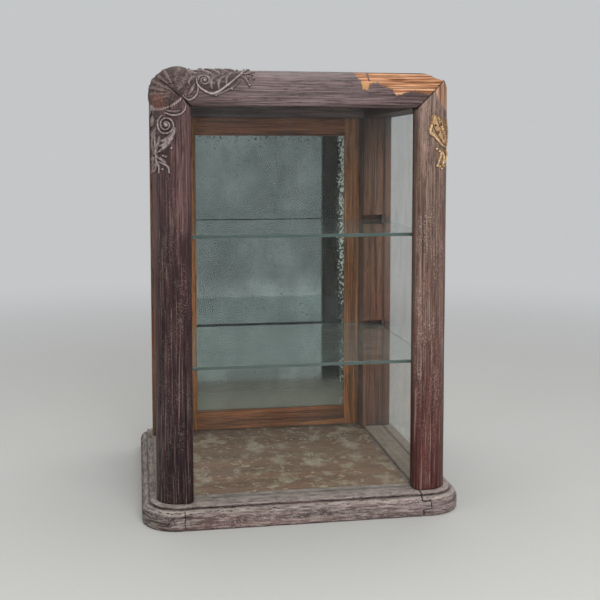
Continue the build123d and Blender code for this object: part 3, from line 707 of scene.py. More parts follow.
@dataclass(frozen=True)
class Stroke:
    """One modelled stroke of the ornament: a stem, a leaf, a bud, a curl or a groove.

    Attributes:
        points: Line of the stroke on the face, in millimetres. A single point makes a round bud.
        widths: Half widths at even shares along the line.
        rise: Height of the crown over the face, negative for a groove.
        ridge: Depth of the veins or twists across the stroke.
        pitch: Distance from one vein to the next along the line.
        slant: Lean of the veins, in millimetres along for each one across.
        mirrored: True for veins that meet at the midrib, False for a rope's twist.
        thinnest: Least half width, which keeps a pointed end finite.
        margin: Share of the greatest half width within which places are worked out.
        lowest: Least share of the rise, past the stroke's edge.
    """

    points: Points
    widths: tuple[float, ...]
    rise: float = 2.2
    ridge: float = 0.0
    pitch: float = 2.4
    slant: float = 1.0
    mirrored: bool = True
    thinnest: float = 0.05
    margin: float = 1.6
    lowest: float = -1.2

    def line(self) -> Array:
        """Gives the stroke's line, which for a bud is too short to see."""
        if len(self.points) > 1:
            return smooth_line(self.points)
        return np.array([self.points[0], self.points[0]]) + [[0, 0], [0.01, 0]]

    def height(self, across: Array, up: Array) -> Array:
        """Works out the stroke's height: crown times one less the square of the share of the half width.

        The veins add a cosine of the run along the line, leaning with the distance off it.

        Args:
            across: First coordinate of each place.
            up: Second coordinate of each place.

        Returns:
            Height at each place, falling below nought outside the stroke.
        """
        line = self.line()
        start, step = line[:-1], np.diff(line, axis=0)
        length = np.hypot(step[:, 0], step[:, 1])
        travelled = np.concatenate([[0.0], np.cumsum(length)])
        margin = self.margin * max(self.widths)
        low, high = line.min(axis=0) - margin, line.max(axis=0) + margin
        close = (across > low[0]) & (across < high[0]) & (up > low[1]) & (up < high[1])
        result = np.full(across.shape, -1.0)
        if not close.any():
            return result
        to = np.stack([across[close], up[close]], axis=-1)[:, None, :] - start
        share = np.clip((to * step).sum(axis=-1) / length**2, 0, 1)
        off = to - share[..., None] * step
        gap = np.hypot(off[..., 0], off[..., 1])
        nearest = gap.argmin(axis=1)
        row = np.arange(len(nearest))
        gap, share, off = gap[row, nearest], share[row, nearest], off[row, nearest]
        run = travelled[nearest] + share * length[nearest]
        side = np.sign(step[nearest, 0] * off[:, 1] - step[nearest, 1] * off[:, 0])
        half = np.interp(run / travelled[-1], np.linspace(0, 1, len(self.widths)), self.widths)
        crown = np.maximum(1 - (gap / np.maximum(half, self.thinnest)) ** 2, self.lowest)
        lean = gap if self.mirrored else gap * side
        veins = np.cos(2 * np.pi * (run - self.slant * lean) / self.pitch)
        result[close] = abs(self.rise) * crown + self.ridge * (veins - 1) * np.clip(crown, 0, 1)
        return result


@dataclass(frozen=True)
class FrameFace:
    """Front of the frame, unrolled: a flat face that turns back over a quarter round.

    Attributes:
        upright: True on a post, False on the top rail.
        side: -1 for the left post, 1 for the right one, 0 for the rail.
        reach: Start and end of the first and of the second coordinate.
        step: Spacing of the grid.
    """

    upright: bool
    side: int
    reach: tuple[float, float, float, float]
    step: float = 0.45

    def place(self, across: Array, up: Array) -> tuple[Array, Array, Array, Array]:
        """Rolls the flat grid over the round: the length past the flat, over the radius, is the angle turned.

        Args:
            across: First coordinate of each place.
            up: Second coordinate of each place.

        Returns:
            Points, outward normals, and the two coordinates by which the strokes are drawn.
        """
        edge = BEND_X if self.upright else BEND_Z
        rolled = self.side * across if self.upright else up
        angle = np.clip((rolled - edge) / CASE.bend, 0, np.pi / 2)
        flat = np.minimum(rolled, edge) + CASE.bend * np.sin(angle)
        past = np.maximum(rolled - edge - CASE.bend * np.pi / 2, 0)
        depth = BEND_Y - CASE.bend * np.cos(angle) + past
        turn, level = np.sin(angle), np.zeros_like(angle)
        if self.upright:
            points, normals = (self.side * flat, depth, up), (self.side * turn, -np.cos(angle), level)
        else:
            points, normals = (across, depth, flat), (level, -np.cos(angle), turn)
        return np.stack(points, axis=-1), np.stack(normals, axis=-1), across, up


@dataclass(frozen=True)
class CornerDome:
    """Shell-shaped cap over the left corner: half an ellipsoid, longer across the mitre, its rim running back.

    Attributes:
        centre: Middle of the dome seen from the front.
        base: Depth of the rim's plane.
        axes: Half length across the mitre, half length along it, and the dome's depth.
        rim: Length of the line from the apex to the rim.
        reach: Extent of the two coordinates.
        step: Spacing of the grid.
    """

    centre: Pair = (-168.2, 555.2)
    base: float = -158.5
    axes: Place = (33.0, 26.4, 23.0)
    rim: float = 42.0
    reach: tuple[float, float, float, float] = (-56.0, 56.0, -56.0, 56.0)
    step: float = 0.5

    def place(self, across: Array, up: Array) -> tuple[Array, Array, Array, Array]:
        """Wraps a flat disc over the dome: the share of the way to the rim is a share of a quarter turn.

        Past the rim the surface runs straight back. The ellipsoid's axes are turned 45 degrees to the frame's.

        Args:
            across: First coordinate of each place.
            up: Second coordinate of each place.

        Returns:
            Points, outward normals, and the two coordinates by which the strokes are drawn.
        """
        turned = math.sqrt(2)
        distance = np.maximum(np.hypot(across, up), 1e-6)
        lean = np.clip(distance / self.rim, 0, 1) * np.pi / 2
        beside = (-across - up) / (distance * turned)
        along = (up - across) / (distance * turned)
        wide, narrow, deep = self.axes
        flat_a, flat_b = wide * np.sin(lean) * beside, narrow * np.sin(lean) * along
        front_x = self.centre[0] + (-flat_a - flat_b) / turned
        front_z = self.centre[1] + (-flat_a + flat_b) / turned
        depth = self.base - deep * np.cos(lean) + np.maximum(distance - self.rim, 0)
        normal_a, normal_b = np.sin(lean) * beside / wide, np.sin(lean) * along / narrow
        back = -np.cos(lean) / deep
        size = np.sqrt(normal_a**2 + normal_b**2 + back**2)
        x, z = (-normal_a - normal_b) / turned / size, (-normal_a + normal_b) / turned / size
        normals = np.stack([x, back / size, z], axis=-1)
        return np.stack([front_x, depth, front_z], axis=-1), normals, front_x, front_z


@dataclass(frozen=True)
class Relief:
    """Composition relief: the highest of its strokes at each place, less its grooves, on a face of the frame.

    Attributes:
        name: Name of the piece.
        face: Face that it lies on.
        strokes: Raised strokes and grooves.
        ground: Height where no stroke rises.
        sink: How far the back lies under the face.
        grit: Height of the moulded unevenness.
        ripple: Shortest wave of the unevenness.
        ceiling: Height that nothing passes.
        seed: Seed of the unevenness.
        hem: Depth under the face down to which cells are kept round the relief.
        tuck: Greatest depth of those cells.
    """

    name: str
    face: FrameFace | CornerDome
    strokes: tuple[Stroke, ...]
    ground: float = -1.0
    sink: float = 1.4
    grit: float = 0.14
    ripple: float = 2 * math.pi / 2.6
    ceiling: float = 3.4
    seed: int = 1
    hem: float = -0.3
    tuck: float = -0.7

    def heights(self, across: Array, up: Array) -> Array:
        """Works out the relief: highest stroke, less the grooves, plus a sum of twelve seeded sine waves.

        Args:
            across: First coordinate of each place.
            up: Second coordinate of each place.

        Returns:
            Height at each place.
        """
        total = np.full(across.shape, self.ground)
        for stroke in self.strokes:
            if stroke.rise > 0:
                total = np.maximum(total, stroke.height(across, up))
        for stroke in self.strokes:
            if stroke.rise < 0:
                total = total - np.maximum(stroke.height(across, up), 0)
        uneven = swell(across, up, (self.ripple, self.ripple), self.seed, 12)
        return np.minimum(total + 3 * self.grit * uneven, self.ceiling)

    def build(self, material: bpy.types.Material, slot: str, node: str) -> bpy.types.Object:
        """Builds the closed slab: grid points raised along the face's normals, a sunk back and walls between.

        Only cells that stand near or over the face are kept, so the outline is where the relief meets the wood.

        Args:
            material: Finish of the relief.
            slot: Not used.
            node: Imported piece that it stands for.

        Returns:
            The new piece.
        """
        first, last, low, high = self.face.reach
        step = self.face.step
        marks = (np.arange(first, last + step, step), np.arange(low, high + step, step))
        across, up = np.meshgrid(*marks, indexing="ij")
        points, normals, *drawn = self.face.place(across, up)
        height = self.heights(*drawn)
        corner = np.maximum.reduce([height[:-1, :-1], height[1:, :-1], height[:-1, 1:], height[1:, 1:]])
        kept = fill_diagonals(corner > self.hem)
        crest = points + normals * np.clip(height, self.tuck, None)[..., None]
        vertices, faces = closed_slab(crest, points - normals * self.sink, kept)
        rise = np.concatenate([np.clip(height / self.ceiling, 0, 1).ravel(), np.zeros(height.size)])
        return make_piece(self.name, vertices, faces, material, (node,), {"rise": rise})


def fill_diagonals(kept: Array) -> Array:
    """Fills cells where two kept ones touch only at a corner, so that the slab has no pinched edges."""
    kept = kept.copy()
    for _ in range(3):
        kept[1:, :-1] |= kept[:-1, :-1] & kept[1:, 1:] & ~kept[:-1, 1:]
        kept[:-1, :-1] |= kept[1:, :-1] & kept[:-1, 1:] & ~kept[1:, 1:]
    return kept


def closed_slab(top: Array, bottom: Array, kept: Array) -> tuple[Array, Array]:
    """Joins two grids into a closed slab over the kept cells: top, turned bottom, and a wall at each open side.

    Args:
        top: Grid of outer points.
        bottom: Grid of inner points.
        kept: One truth value for each cell.

    Returns:
        Vertices of both grids, and quads that face outwards.
    """
    rows, columns = top.shape[:2]
    index = np.arange(rows * columns).reshape(rows, columns)
    over = [index[:-1, :-1], index[1:, :-1], index[1:, 1:], index[:-1, 1:]]
    under = [corner + rows * columns for corner in over]
    quads = [np.stack(over, -1)[kept], np.stack([under[place] for place in (0, 3, 2, 1)], -1)[kept]]
    around = np.pad(kept, 1)
    # The cell beyond each side, by the corner at which the side starts
    beyond = {3: around[:-2, 1:-1], 1: around[2:, 1:-1], 0: around[1:-1, :-2], 2: around[1:-1, 2:]}
    for start, neighbour in beyond.items():
        end = (start + 1) % 4
        wall = np.stack([over[end], over[start], under[start], under[end]], -1)
        quads.append(wall[kept & ~neighbour])
    return np.concatenate([top.reshape(-1, 3), bottom.reshape(-1, 3)]), np.concatenate(quads)


def closed_tube(grid: Array) -> tuple[Array, Array]:
    """Closes a grid of stations by section points into a solid: quads around, and each end zipped shut.

    Args:
        grid: Points by station and by place around the section, an even number of them.

    Returns:
        Vertices, and quads turned to face outwards by the sign of the volume.
    """
    stations, around = grid.shape[:2]
    index = np.arange(stations * around).reshape(stations, around)
    beyond = np.roll(index, -1, axis=1)
    skin = np.stack([index[:-1], beyond[:-1], beyond[1:], index[1:]], axis=-1).reshape(-1, 4)
    near = np.arange(around // 2 - 1)
    zipped = np.stack([near, near + 1, around - 2 - near, around - 1 - near], axis=-1)
    vertices = grid.reshape(-1, 3)
    faces = np.concatenate([skin, zipped[:, ::-1], zipped + index[-1, 0]])
    first, second, third, fourth = (vertices[faces[:, corner]] for corner in range(4))
    volume = (first * np.cross(second, third)).sum() + (first * np.cross(third, fourth)).sum()
    return vertices, faces if volume > 0 else faces[:, ::-1]


def make_piece(
    name: str,
    vertices: Array,
    faces: Array,
    material: bpy.types.Material,
    nodes: tuple[str, ...],
    values: dict[str, Array] | None = None,
    body: str = "carcass",
) -> bpy.types.Object:
    """Makes one piece from whole arrays and ties it to its body.

    Args:
        name: Name of the piece.
        vertices: Points in millimetres.
        faces: Corner numbers of each face.
        material: Finish.
        nodes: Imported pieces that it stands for.
        values: One number or vector for each vertex, by name, for the finish to read.
        body: Body that it moves with.

    Returns:
        The new piece.
    """
    used, place = np.unique(faces, return_inverse=True)
    mesh = bpy.data.meshes.new(name)
    mesh.from_pydata((vertices[used] / 1000).tolist(), [], place.reshape(faces.shape).tolist())
    mesh.polygons.foreach_set("use_smooth", np.ones(len(faces), bool))
    for title, numbers in (values or {}).items():
        kind, column = ("FLOAT_VECTOR", "vector") if numbers.ndim == 2 else ("FLOAT", "value")
        data = mesh.attributes.new(title, kind, "POINT").data
        data.foreach_set(column, numbers[used].astype(np.float32).ravel())
    mesh.materials.append(material)
    mesh.update()
    mesh.set_sharp_from_angle(angle=math.radians(50))
    piece = bpy.data.objects.new(name, mesh)
    bpy.context.scene.collection.objects.link(piece)
    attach(piece, body)
    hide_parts(*nodes)
    log.info("%s: %d faces", name, len(faces))
    return piece


@dataclass(frozen=True)
class FrontFrame:
    """Round-faced posts and top rail, mitred at the corners, with the veneer's damage cut into them.

    Attributes:
        glass: Depth of the front of the glass rebate.
        rebate: Width of the glass rebate.
        inner_round: Radius of the edge by the glass.
        inner_arc: Length of that quarter round.
        veneer: Thickness of the veneer.
        around: Points on each half of the section.
        bare_edge: Lower edge of the bare wood on the unrolled rail, with the chip that hangs from its left end.
        bare_gap: Strip of veneer left standing across the bare wood.
        chip_corner: Right and upper edge of the yellow wood under that chip.
        scar_edge: Lower edge of the scar on the right post, from the opening outwards.
        chips: Dents in the rail, seen from the front.
    """

    glass: float = -160.5
    rebate: float = 4.2
    inner_round: float = 9.0
    inner_arc: float = 14.14
    veneer: float = 0.8
    around: int = 100
    bare_edge: Points = (
        (64.0, 604.0), (65.5, 582.0), (68.5, 574.0), (71.5, 569.5), (72.3, 558.8), (80.0, 557.3),
        (82.5, 566.0), (94.5, 567.5), (99.0, 563.0), (111.0, 558.6), (117.0, 550.6), (124.0, 552.1),
        (135.0, 555.0), (146.5, 556.5), (158.0, 552.0), (193.0, 551.0),
    )
    bare_gap: Points = ((82.5, 571.0), (81.5, 580.0), (83.0, 592.0), (82.0, 604.0))
    chip_corner: Pair = (83.3, 568.5)
    scar_edge: Points = ((163.0, 600.0), (168.0, 566.0), (174.0, 545.0), (183.0, 535.0), (205.0, 529.0))
    chips: tuple[Stroke, ...] = (
        Stroke(((166.0, 583.0), (172.0, 580.0), (181.0, 577.0), (190.0, 570.0)), (3.0, 5.0, 5.0, 3.0), -3.2),
        Stroke(((-60.0, 536.2), (-20.0, 535.4), (30.0, 535.6)), (0.5, 1.0, 0.5), -0.7),
    )

    def section(self) -> tuple[Array, Array, Array]:
        """Traces the section as distance from the opening and depth: the outer side, then the rebated back.

        Returns:
            The section's points, the outward directions, and the distance run along the outer side.
        """
        flat, side = self.inner_round, CASE.member - CASE.bend
        outer = (
            (0.0, self.glass),
            *arc((flat, CASE.face + flat), flat, 180, 270),
            *arc((side, BEND_Y), CASE.bend, 270, 360),
            (CASE.member, CASE.back),
        )
        inner = (
            (SEAM, self.glass), (self.rebate, self.glass),
            (self.rebate, CASE.back), (CASE.member - SEAM, CASE.back),
        )
        front, run = spread(outer, self.around)
        behind, _ = spread(inner, self.around)
        outward = np.concatenate([rightward(front), np.zeros_like(behind)])
        return np.concatenate([front, behind[::-1]]), outward, run

    def mitre_end(self, offset: Array) -> Array:
        """Gives how far past the opening's corner a line runs: to the mitre, or to the round corner."""
        middle = CASE.member - CASE.corner
        reach = np.sqrt(np.maximum(CASE.corner**2 - (offset - middle) ** 2, 0.0))
        return np.minimum(offset, np.where(offset > middle, middle + reach, CASE.member))

    def bare(self, along: Array, unrolled: Array) -> Array:
        """Gives one on the rail's bare wood: height over the ragged lower edge, closed in the narrow gap."""
        edge = np.interp(along, *np.array(self.bare_edge).T)
        ragged = 9.0 * swell(along, unrolled, (9.0, 1.7), 31) + 4.0 * swell(along, unrolled, (3.0, 1.2), 33)
        gap = Stroke(self.bare_gap, (0.7, 1.2, 0.8), 1.0).height(along, unrolled)
        mask = np.clip((unrolled - edge + 0.45 * ragged) / 0.9, 0, 1)
        near = (along > self.bare_edge[0][0] - 4.0) & (along < self.bare_edge[-1][0] + 1.0)
        return np.where(near, np.minimum(mask, np.clip(-3 * gap, 0, 1)), 0.0)

    def scar(self, line: Array, unrolled: Array) -> Array:
        """Gives up to 0.6 on the right post's scar, over its ragged lower edge."""
        edge = np.interp(CASE.opening + unrolled, *np.array(self.scar_edge).T)
        return 0.6 * np.clip((line - edge + 5 * swell(line, unrolled, (6.0, 3.0), 35)) / 2.0, 0, 1)

    def build(
        self, name: str, upright: bool, side: int, stations: Array, material: bpy.types.Material
    ) -> bpy.types.Object:
        """Builds one member: the section carried along it, each line running from end to end of its own length.

        Args:
            name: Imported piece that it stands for.
            upright: True for a post.
            side: -1 for the left post, 1 for the others.
            stations: Shares of the length.
            material: Finish.

        Returns:
            The new piece.
        """
        section, outward, run = self.section()
        end = self.mitre_end(section[:, 0])
        start = np.full_like(end, CASE.foot) if upright else -CASE.opening - end
        finish = (CASE.head if upright else CASE.opening) + end
        line = start + stations[:, None] * (finish - start)
        offset, depth, push, lift = (column + np.zeros_like(line) for column in (*section.T, *outward.T))
        unrolled = np.concatenate([run, run[::-1]]) - self.inner_arc + np.zeros_like(line)
        front = np.arange(2 * self.around) < self.around
        # Slow waves across the fibres, which stay under the CAD's face
        worn = -0.16 + 0.9 * np.minimum(swell(line, unrolled, (160.0, 5.0), 41 + side + 3 * upright), 0.17)
        bare = np.zeros_like(line)
        if not upright:
            bare = self.bare(line, CASE.head + unrolled) * front
            worn = worn - self.veneer * bare
            for chip in self.chips:
                worn = worn - np.maximum(chip.height(line, CASE.head + offset), 0) * front
        elif side > 0:
            bare = self.scar(line, unrolled) * front
            worn = worn - 0.5 * self.veneer * bare
        # Hairline of the open mitre, and long shakes along the fibres
        past = line - CASE.head if upright else np.abs(line) - CASE.opening
        mitre = np.exp(-(((past - end) / 0.8) ** 2)) * (end > offset - 0.01) * front
        shake = np.clip(swell(line, unrolled, (300.0, 3.2), 61 + side + 5 * upright) * 4.0 - 1.15, 0, 1)
        groove = np.maximum(mitre, 0.7 * shake * front)
        worn = (worn - 0.5 * groove) * front
        offset, depth = offset + worn * push, depth + worn * lift
        if upright:
            grid = np.stack([side * (CASE.opening + offset), depth, line], -1)
        else:
            grid = np.stack([line, depth, CASE.head + offset], -1)
        vertices, faces = closed_tube(grid)
        chip = bare * (line < self.chip_corner[0]) * (CASE.head + unrolled < self.chip_corner[1])
        values = {"groove": groove.ravel(), "bare": bare.ravel(), "chip": chip.ravel()}
        return make_piece(name + "_worn", vertices, faces, material, (name,), values)

    def build_all(self, left: bpy.types.Material, right: bpy.types.Material, rail: bpy.types.Material) -> None:
        """Builds both posts and the rail, the rail with fine stations over its damaged right end."""
        posts = np.linspace(0, 1, 220)
        self.build("front_post_left", True, -1, posts, left)
        self.build("front_post_right", True, 1, posts, right)
        stations = np.concatenate([np.linspace(0, 0.64, 110)[:-1], np.linspace(0.64, 1, 190)])
        self.build("top_front_rail", False, 1, stations, rail)


@dataclass(frozen=True)
class BaseMoulding:
    """Moulded base: bead, groove and swelling nose, carried round both rounded corners in one run.

    Attributes:
        back: Depth of the back ends.
        bead: Reach of the bead from the middle lines of the corners.
        nose: Reach of the nose from those lines.
        heel: Reach at which the outer section starts on the top.
        toe: Reach at which it ends on the underside.
        bead_round: Radius of the bead.
        sole_round: Radius of the edge over the underside.
        around: Points on the outer section.
        joint: Zigzag of the right lock joint, seen from the front.
        crack: Open end of the left lock joint.
    """

    back: float = 179.5
    bead: float = 38.0
    nose: float = 48.0
    heel: float = 28.0
    toe: float = 40.0
    bead_round: float = 1.7
    sole_round: float = 3.0
    around: int = 80
    joint: Points = (
        (152.0, 31.0), (153.2, 26.0), (152.4, 21.0), (158.0, 20.2), (164.4, 20.6), (163.6, 15.0),
        (164.6, 10.6), (158.5, 9.4), (153.4, 9.6), (153.9, 5.0), (153.0, -1.0),
    )
    crack: Points = ((-158.5, 24.0), (-157.8, 17.0), (-158.8, 10.0), (-157.6, 4.0))

    def section(self) -> tuple[Array, Array, Array]:
        """Traces the moulding from the floor side out over bead and nose, as reach and height.

        Returns:
            Outer points, their outward directions and the distance run.
        """
        bead, sole = self.bead_round, self.sole_round
        quarter = np.linspace(0.1, math.pi / 2, 12)
        line = (
            (self.heel, CASE.foot),
            (self.bead - bead, CASE.foot),
            *arc((self.bead - bead, CASE.foot - bead), bead, 90, -30),
            # Groove under the bead, then the nose as a quarter of an ellipse
            (self.bead - 0.9, CASE.foot - 3.6),
            (self.bead - 0.2, CASE.foot - 4.6),
            *((self.bead + 0.2 + 9.8 * math.sin(turn), 13.5 + 11.2 * math.cos(turn)) for turn in quarter),
            (self.nose, sole + 1.0),
            *arc((self.nose - sole, sole), sole, 0, -90),
            (self.toe, 0.0),
        )
        outer, run = spread(line, self.around)
        return outer, -rightward(outer), run

    def path(self) -> tuple[Array, Array, Array]:
        """Runs down the left side, round the corners and up the right side.

        Returns:
            Both coordinates of the middle lines, and the angle that the section faces.
        """
        sides = (np.linspace(self.back, BEND_Y + 6, 125), np.linspace(BEND_Y + 5, BEND_Y, 4))
        side_y = np.concatenate(sides)
        turn = np.linspace(0, np.pi / 2, 50)[1:-1]
        fine = np.linspace(-BEND_X, -BEND_X + 20, 45)
        front_x = np.concatenate([fine, np.linspace(-143.0, 143.0, 170), -fine[::-1]])
        legs = (
            (-BEND_X, side_y, np.pi),
            (-BEND_X, BEND_Y, np.pi + turn),
            (front_x, BEND_Y, 1.5 * np.pi),
            (BEND_X, BEND_Y, 1.5 * np.pi + turn),
            (BEND_X, side_y[::-1], 2 * np.pi),
        )
        columns = zip(*(np.broadcast_arrays(*leg) for leg in legs))
        across, deep, angle = (np.concatenate(column) for column in columns)
        return across, deep, angle

    def wear(self, along: Array, across: Array) -> Array:
        """Gives how far the surface lies off the CAD's: waves along the grain, less small pits."""
        waves = np.minimum(swell(along, across, (26.0, 5.0), 71), 0.3)
        pits = np.maximum(swell(along, across, (7.0, 3.0), 73) - 0.22, 0)
        return -0.35 + 0.8 * waves - 4.4 * pits

    def build(self, material: bpy.types.Material) -> bpy.types.Object:
        """Builds the moulding: the worn outer section carried along the path, and a plain inner side behind it.

        Args:
            material: Finish.

        Returns:
            The new piece.
        """
        outer, outward, girth = self.section()
        path_x, path_y, angle = self.path()
        toward = np.stack([np.cos(angle), np.sin(angle)], -1)

        def carried(reach: Array, rise: Array) -> Array:
            """Sets a section's reach and rise off each place of the path."""
            placed_x = path_x[:, None] + toward[:, :1] * reach
            placed_y = path_y[:, None] + toward[:, 1:] * reach
            return np.stack([placed_x, placed_y, rise], -1)

        reach, rise = (column + np.zeros((len(angle), 1)) for column in outer.T)
        length = np.hypot(np.gradient(path_x), np.gradient(path_y))
        run = np.cumsum(length + 0.9 * self.nose * np.gradient(angle))
        along, across = run[:, None] + np.zeros_like(reach), girth + np.zeros_like(reach)
        cuts = (Stroke(self.joint, (0.9, 1.1, 0.9), -1.0), Stroke(self.crack, (0.5, 0.8, 0.4), -1.0))
        seen_x = path_x[:, None] + toward[:, :1] * reach
        on_front = (toward[:, 1] < -0.6)[:, None]
        cut = np.maximum.reduce([np.maximum(one.height(seen_x, rise), 0) for one in cuts]) * on_front
        # Painted shade: a dark line along the groove under the bead, which the finish darkens as a groove
        under_bead = np.exp(-(((rise - (CASE.foot - 3.7)) / 0.75) ** 2)) * (np.abs(reach - self.bead) < 1.4)
        outside = (reach > self.heel + 2) & (rise > 0.5)
        worn = self.wear(along, across) * outside - 1.3 * cut
        reach = np.minimum(reach + worn * outward[:, 0], self.nose)
        rise = np.clip(rise + worn * outward[:, 1], 0.0, CASE.foot)
        # The inner edge keeps off the corner's axis, where the section turns on the spot
        inset = np.where(path_y > BEND_Y + 5.5, -18.0, 0.6)
        inset[(angle == 1.5 * np.pi) & (np.abs(path_x) < BEND_X - 2)] = -3.0
        inset = inset[:, None]
        # Underside back to the inner face in the first third, up it in the second, out over the top in the last
        share = np.linspace(0, 1, 25)[1:-1]
        under, over = np.clip(1 - 3 * share, 0, 1), np.clip(3 * share - 2, 0, 1)
        inner_reach = inset + (self.toe - inset) * under + (self.heel - inset) * over
        inner_rise = CASE.foot * np.clip(3 * share - 1, 0, 1) + np.zeros_like(inner_reach)
        skin = np.concatenate([carried(reach, rise), carried(inner_reach, inner_rise)], axis=1)
        vertices, faces = closed_tube(skin)
        pad = np.zeros_like(inner_reach)
        runs = np.concatenate([along, run[:, None] + pad], 1)
        # Over the top, the distance across runs on from the outer section without a step
        inward = inner_reach - self.heel + inner_rise - CASE.foot
        flow = np.stack([runs, np.concatenate([across, inward], 1), np.zeros_like(runs)], -1) / 1000
        # Dark lines of the lock joints, with the painted shade under the bead
        groove = np.concatenate([np.maximum(cut, 0.85 * under_bead), pad], 1)
        values = {"groove": groove.ravel(), "flow": flow.reshape(-1, 3)}
        nodes = (
            "base_front_rail", "base_corner_left", "base_corner_right",
            "base_side_rail_left", "base_side_rail_right",
        )
        return make_piece("base_moulding_worn", vertices, faces, material, nodes, values)


@dataclass(frozen=True)
class SideRail:
    """Top rail of a side, its outer top edge cut to the front frame's corner and running out to a small round.

    Attributes:
        panel: Edge of the rebate for the top panel, from the middle.
        shelf: Height of that rebate.
        back: Depth of the back end.
        small: Radius at the back.
        plain: Length at the front that keeps the large radius.
        change: Length over which the radius falls.
        around: Points on each half of the section.
    """

    panel: float = 158.0
    shelf: float = 572.0
    back: float = 121.5
    small: float = 8.0
    plain: float = 20.0
    change: float = 100.0
    around: int = 60

    def section(self, radius: float) -> Array:
        """Traces the section: underside, outer face, corner and top, then rebate and inner face."""
        outer = (
            (CASE.opening, CASE.head),
            (OUTER, CASE.head),
            *arc((OUTER - radius, TOP - radius), radius, 0, 90),
            (self.panel, TOP),
        )
        inner = (
            (CASE.opening, CASE.head + SEAM),
            (CASE.opening, self.shelf),
            (self.panel, self.shelf),
            (self.panel, TOP - SEAM),
        )
        return np.concatenate([spread(outer, self.around)[0], spread(inner, self.around)[0][::-1]])

    def build(self, side: int, material: bpy.types.Material) -> bpy.types.Object:
        """Builds the rail: a section whose corner radius falls smoothly from the large one to the small one.

        Args:
            side: -1 for the left rail, 1 for the right one.
            material: Finish.

        Returns:
            The new piece.
        """
        stations = np.linspace(CASE.back, self.back, 90)
        share = np.clip((stations - CASE.back - self.plain) / self.change, 0, 1)
        radii = CASE.corner + (self.small - CASE.corner) * share**2 * (3 - 2 * share)
        section = np.array([self.section(radius) for radius in radii.tolist()])
        places = (side * section[..., 0], stations[:, None] + np.zeros_like(section[..., 0]), section[..., 1])
        vertices, faces = closed_tube(np.stack(places, -1))
        name = "top_side_rail_" + ("left" if side < 0 else "right")
        return make_piece(name + "_worn", vertices, faces, material, (name,))


@dataclass(frozen=True)
class Lamp:
    """One square soft lamp.

    Attributes:
        name: Name of the lamp.
        place: Place in metres.
        aim: Height over the middle of the floor that it faces, in metres.
        size: Side in metres.
        power: Power in watts.
        hidden: True for a lamp that neither reflections nor rays through glass show.
    """

    name: str
    place: Place
    aim: float
    size: float
    power: float
    hidden: bool = False

    def build(self) -> None:
        """Hangs the lamp and turns it to what it faces."""
        data = bpy.data.lights.new(self.name, "AREA")
        data.size, data.energy = self.size, self.power
        lamp = bpy.data.objects.new(self.name, data)
        bpy.context.scene.collection.objects.link(lamp)
        lamp.location = self.place
        toward = np.array((0.0, 0.0, self.aim)) - np.array(self.place)
        flat = math.hypot(toward[0], toward[1])
        lamp.rotation_euler = (math.atan2(flat, -toward[2]), 0.0, math.atan2(-toward[0], toward[1]))
        if self.hidden:
            lamp.visible_glossy = False
            lamp.visible_transmission = False


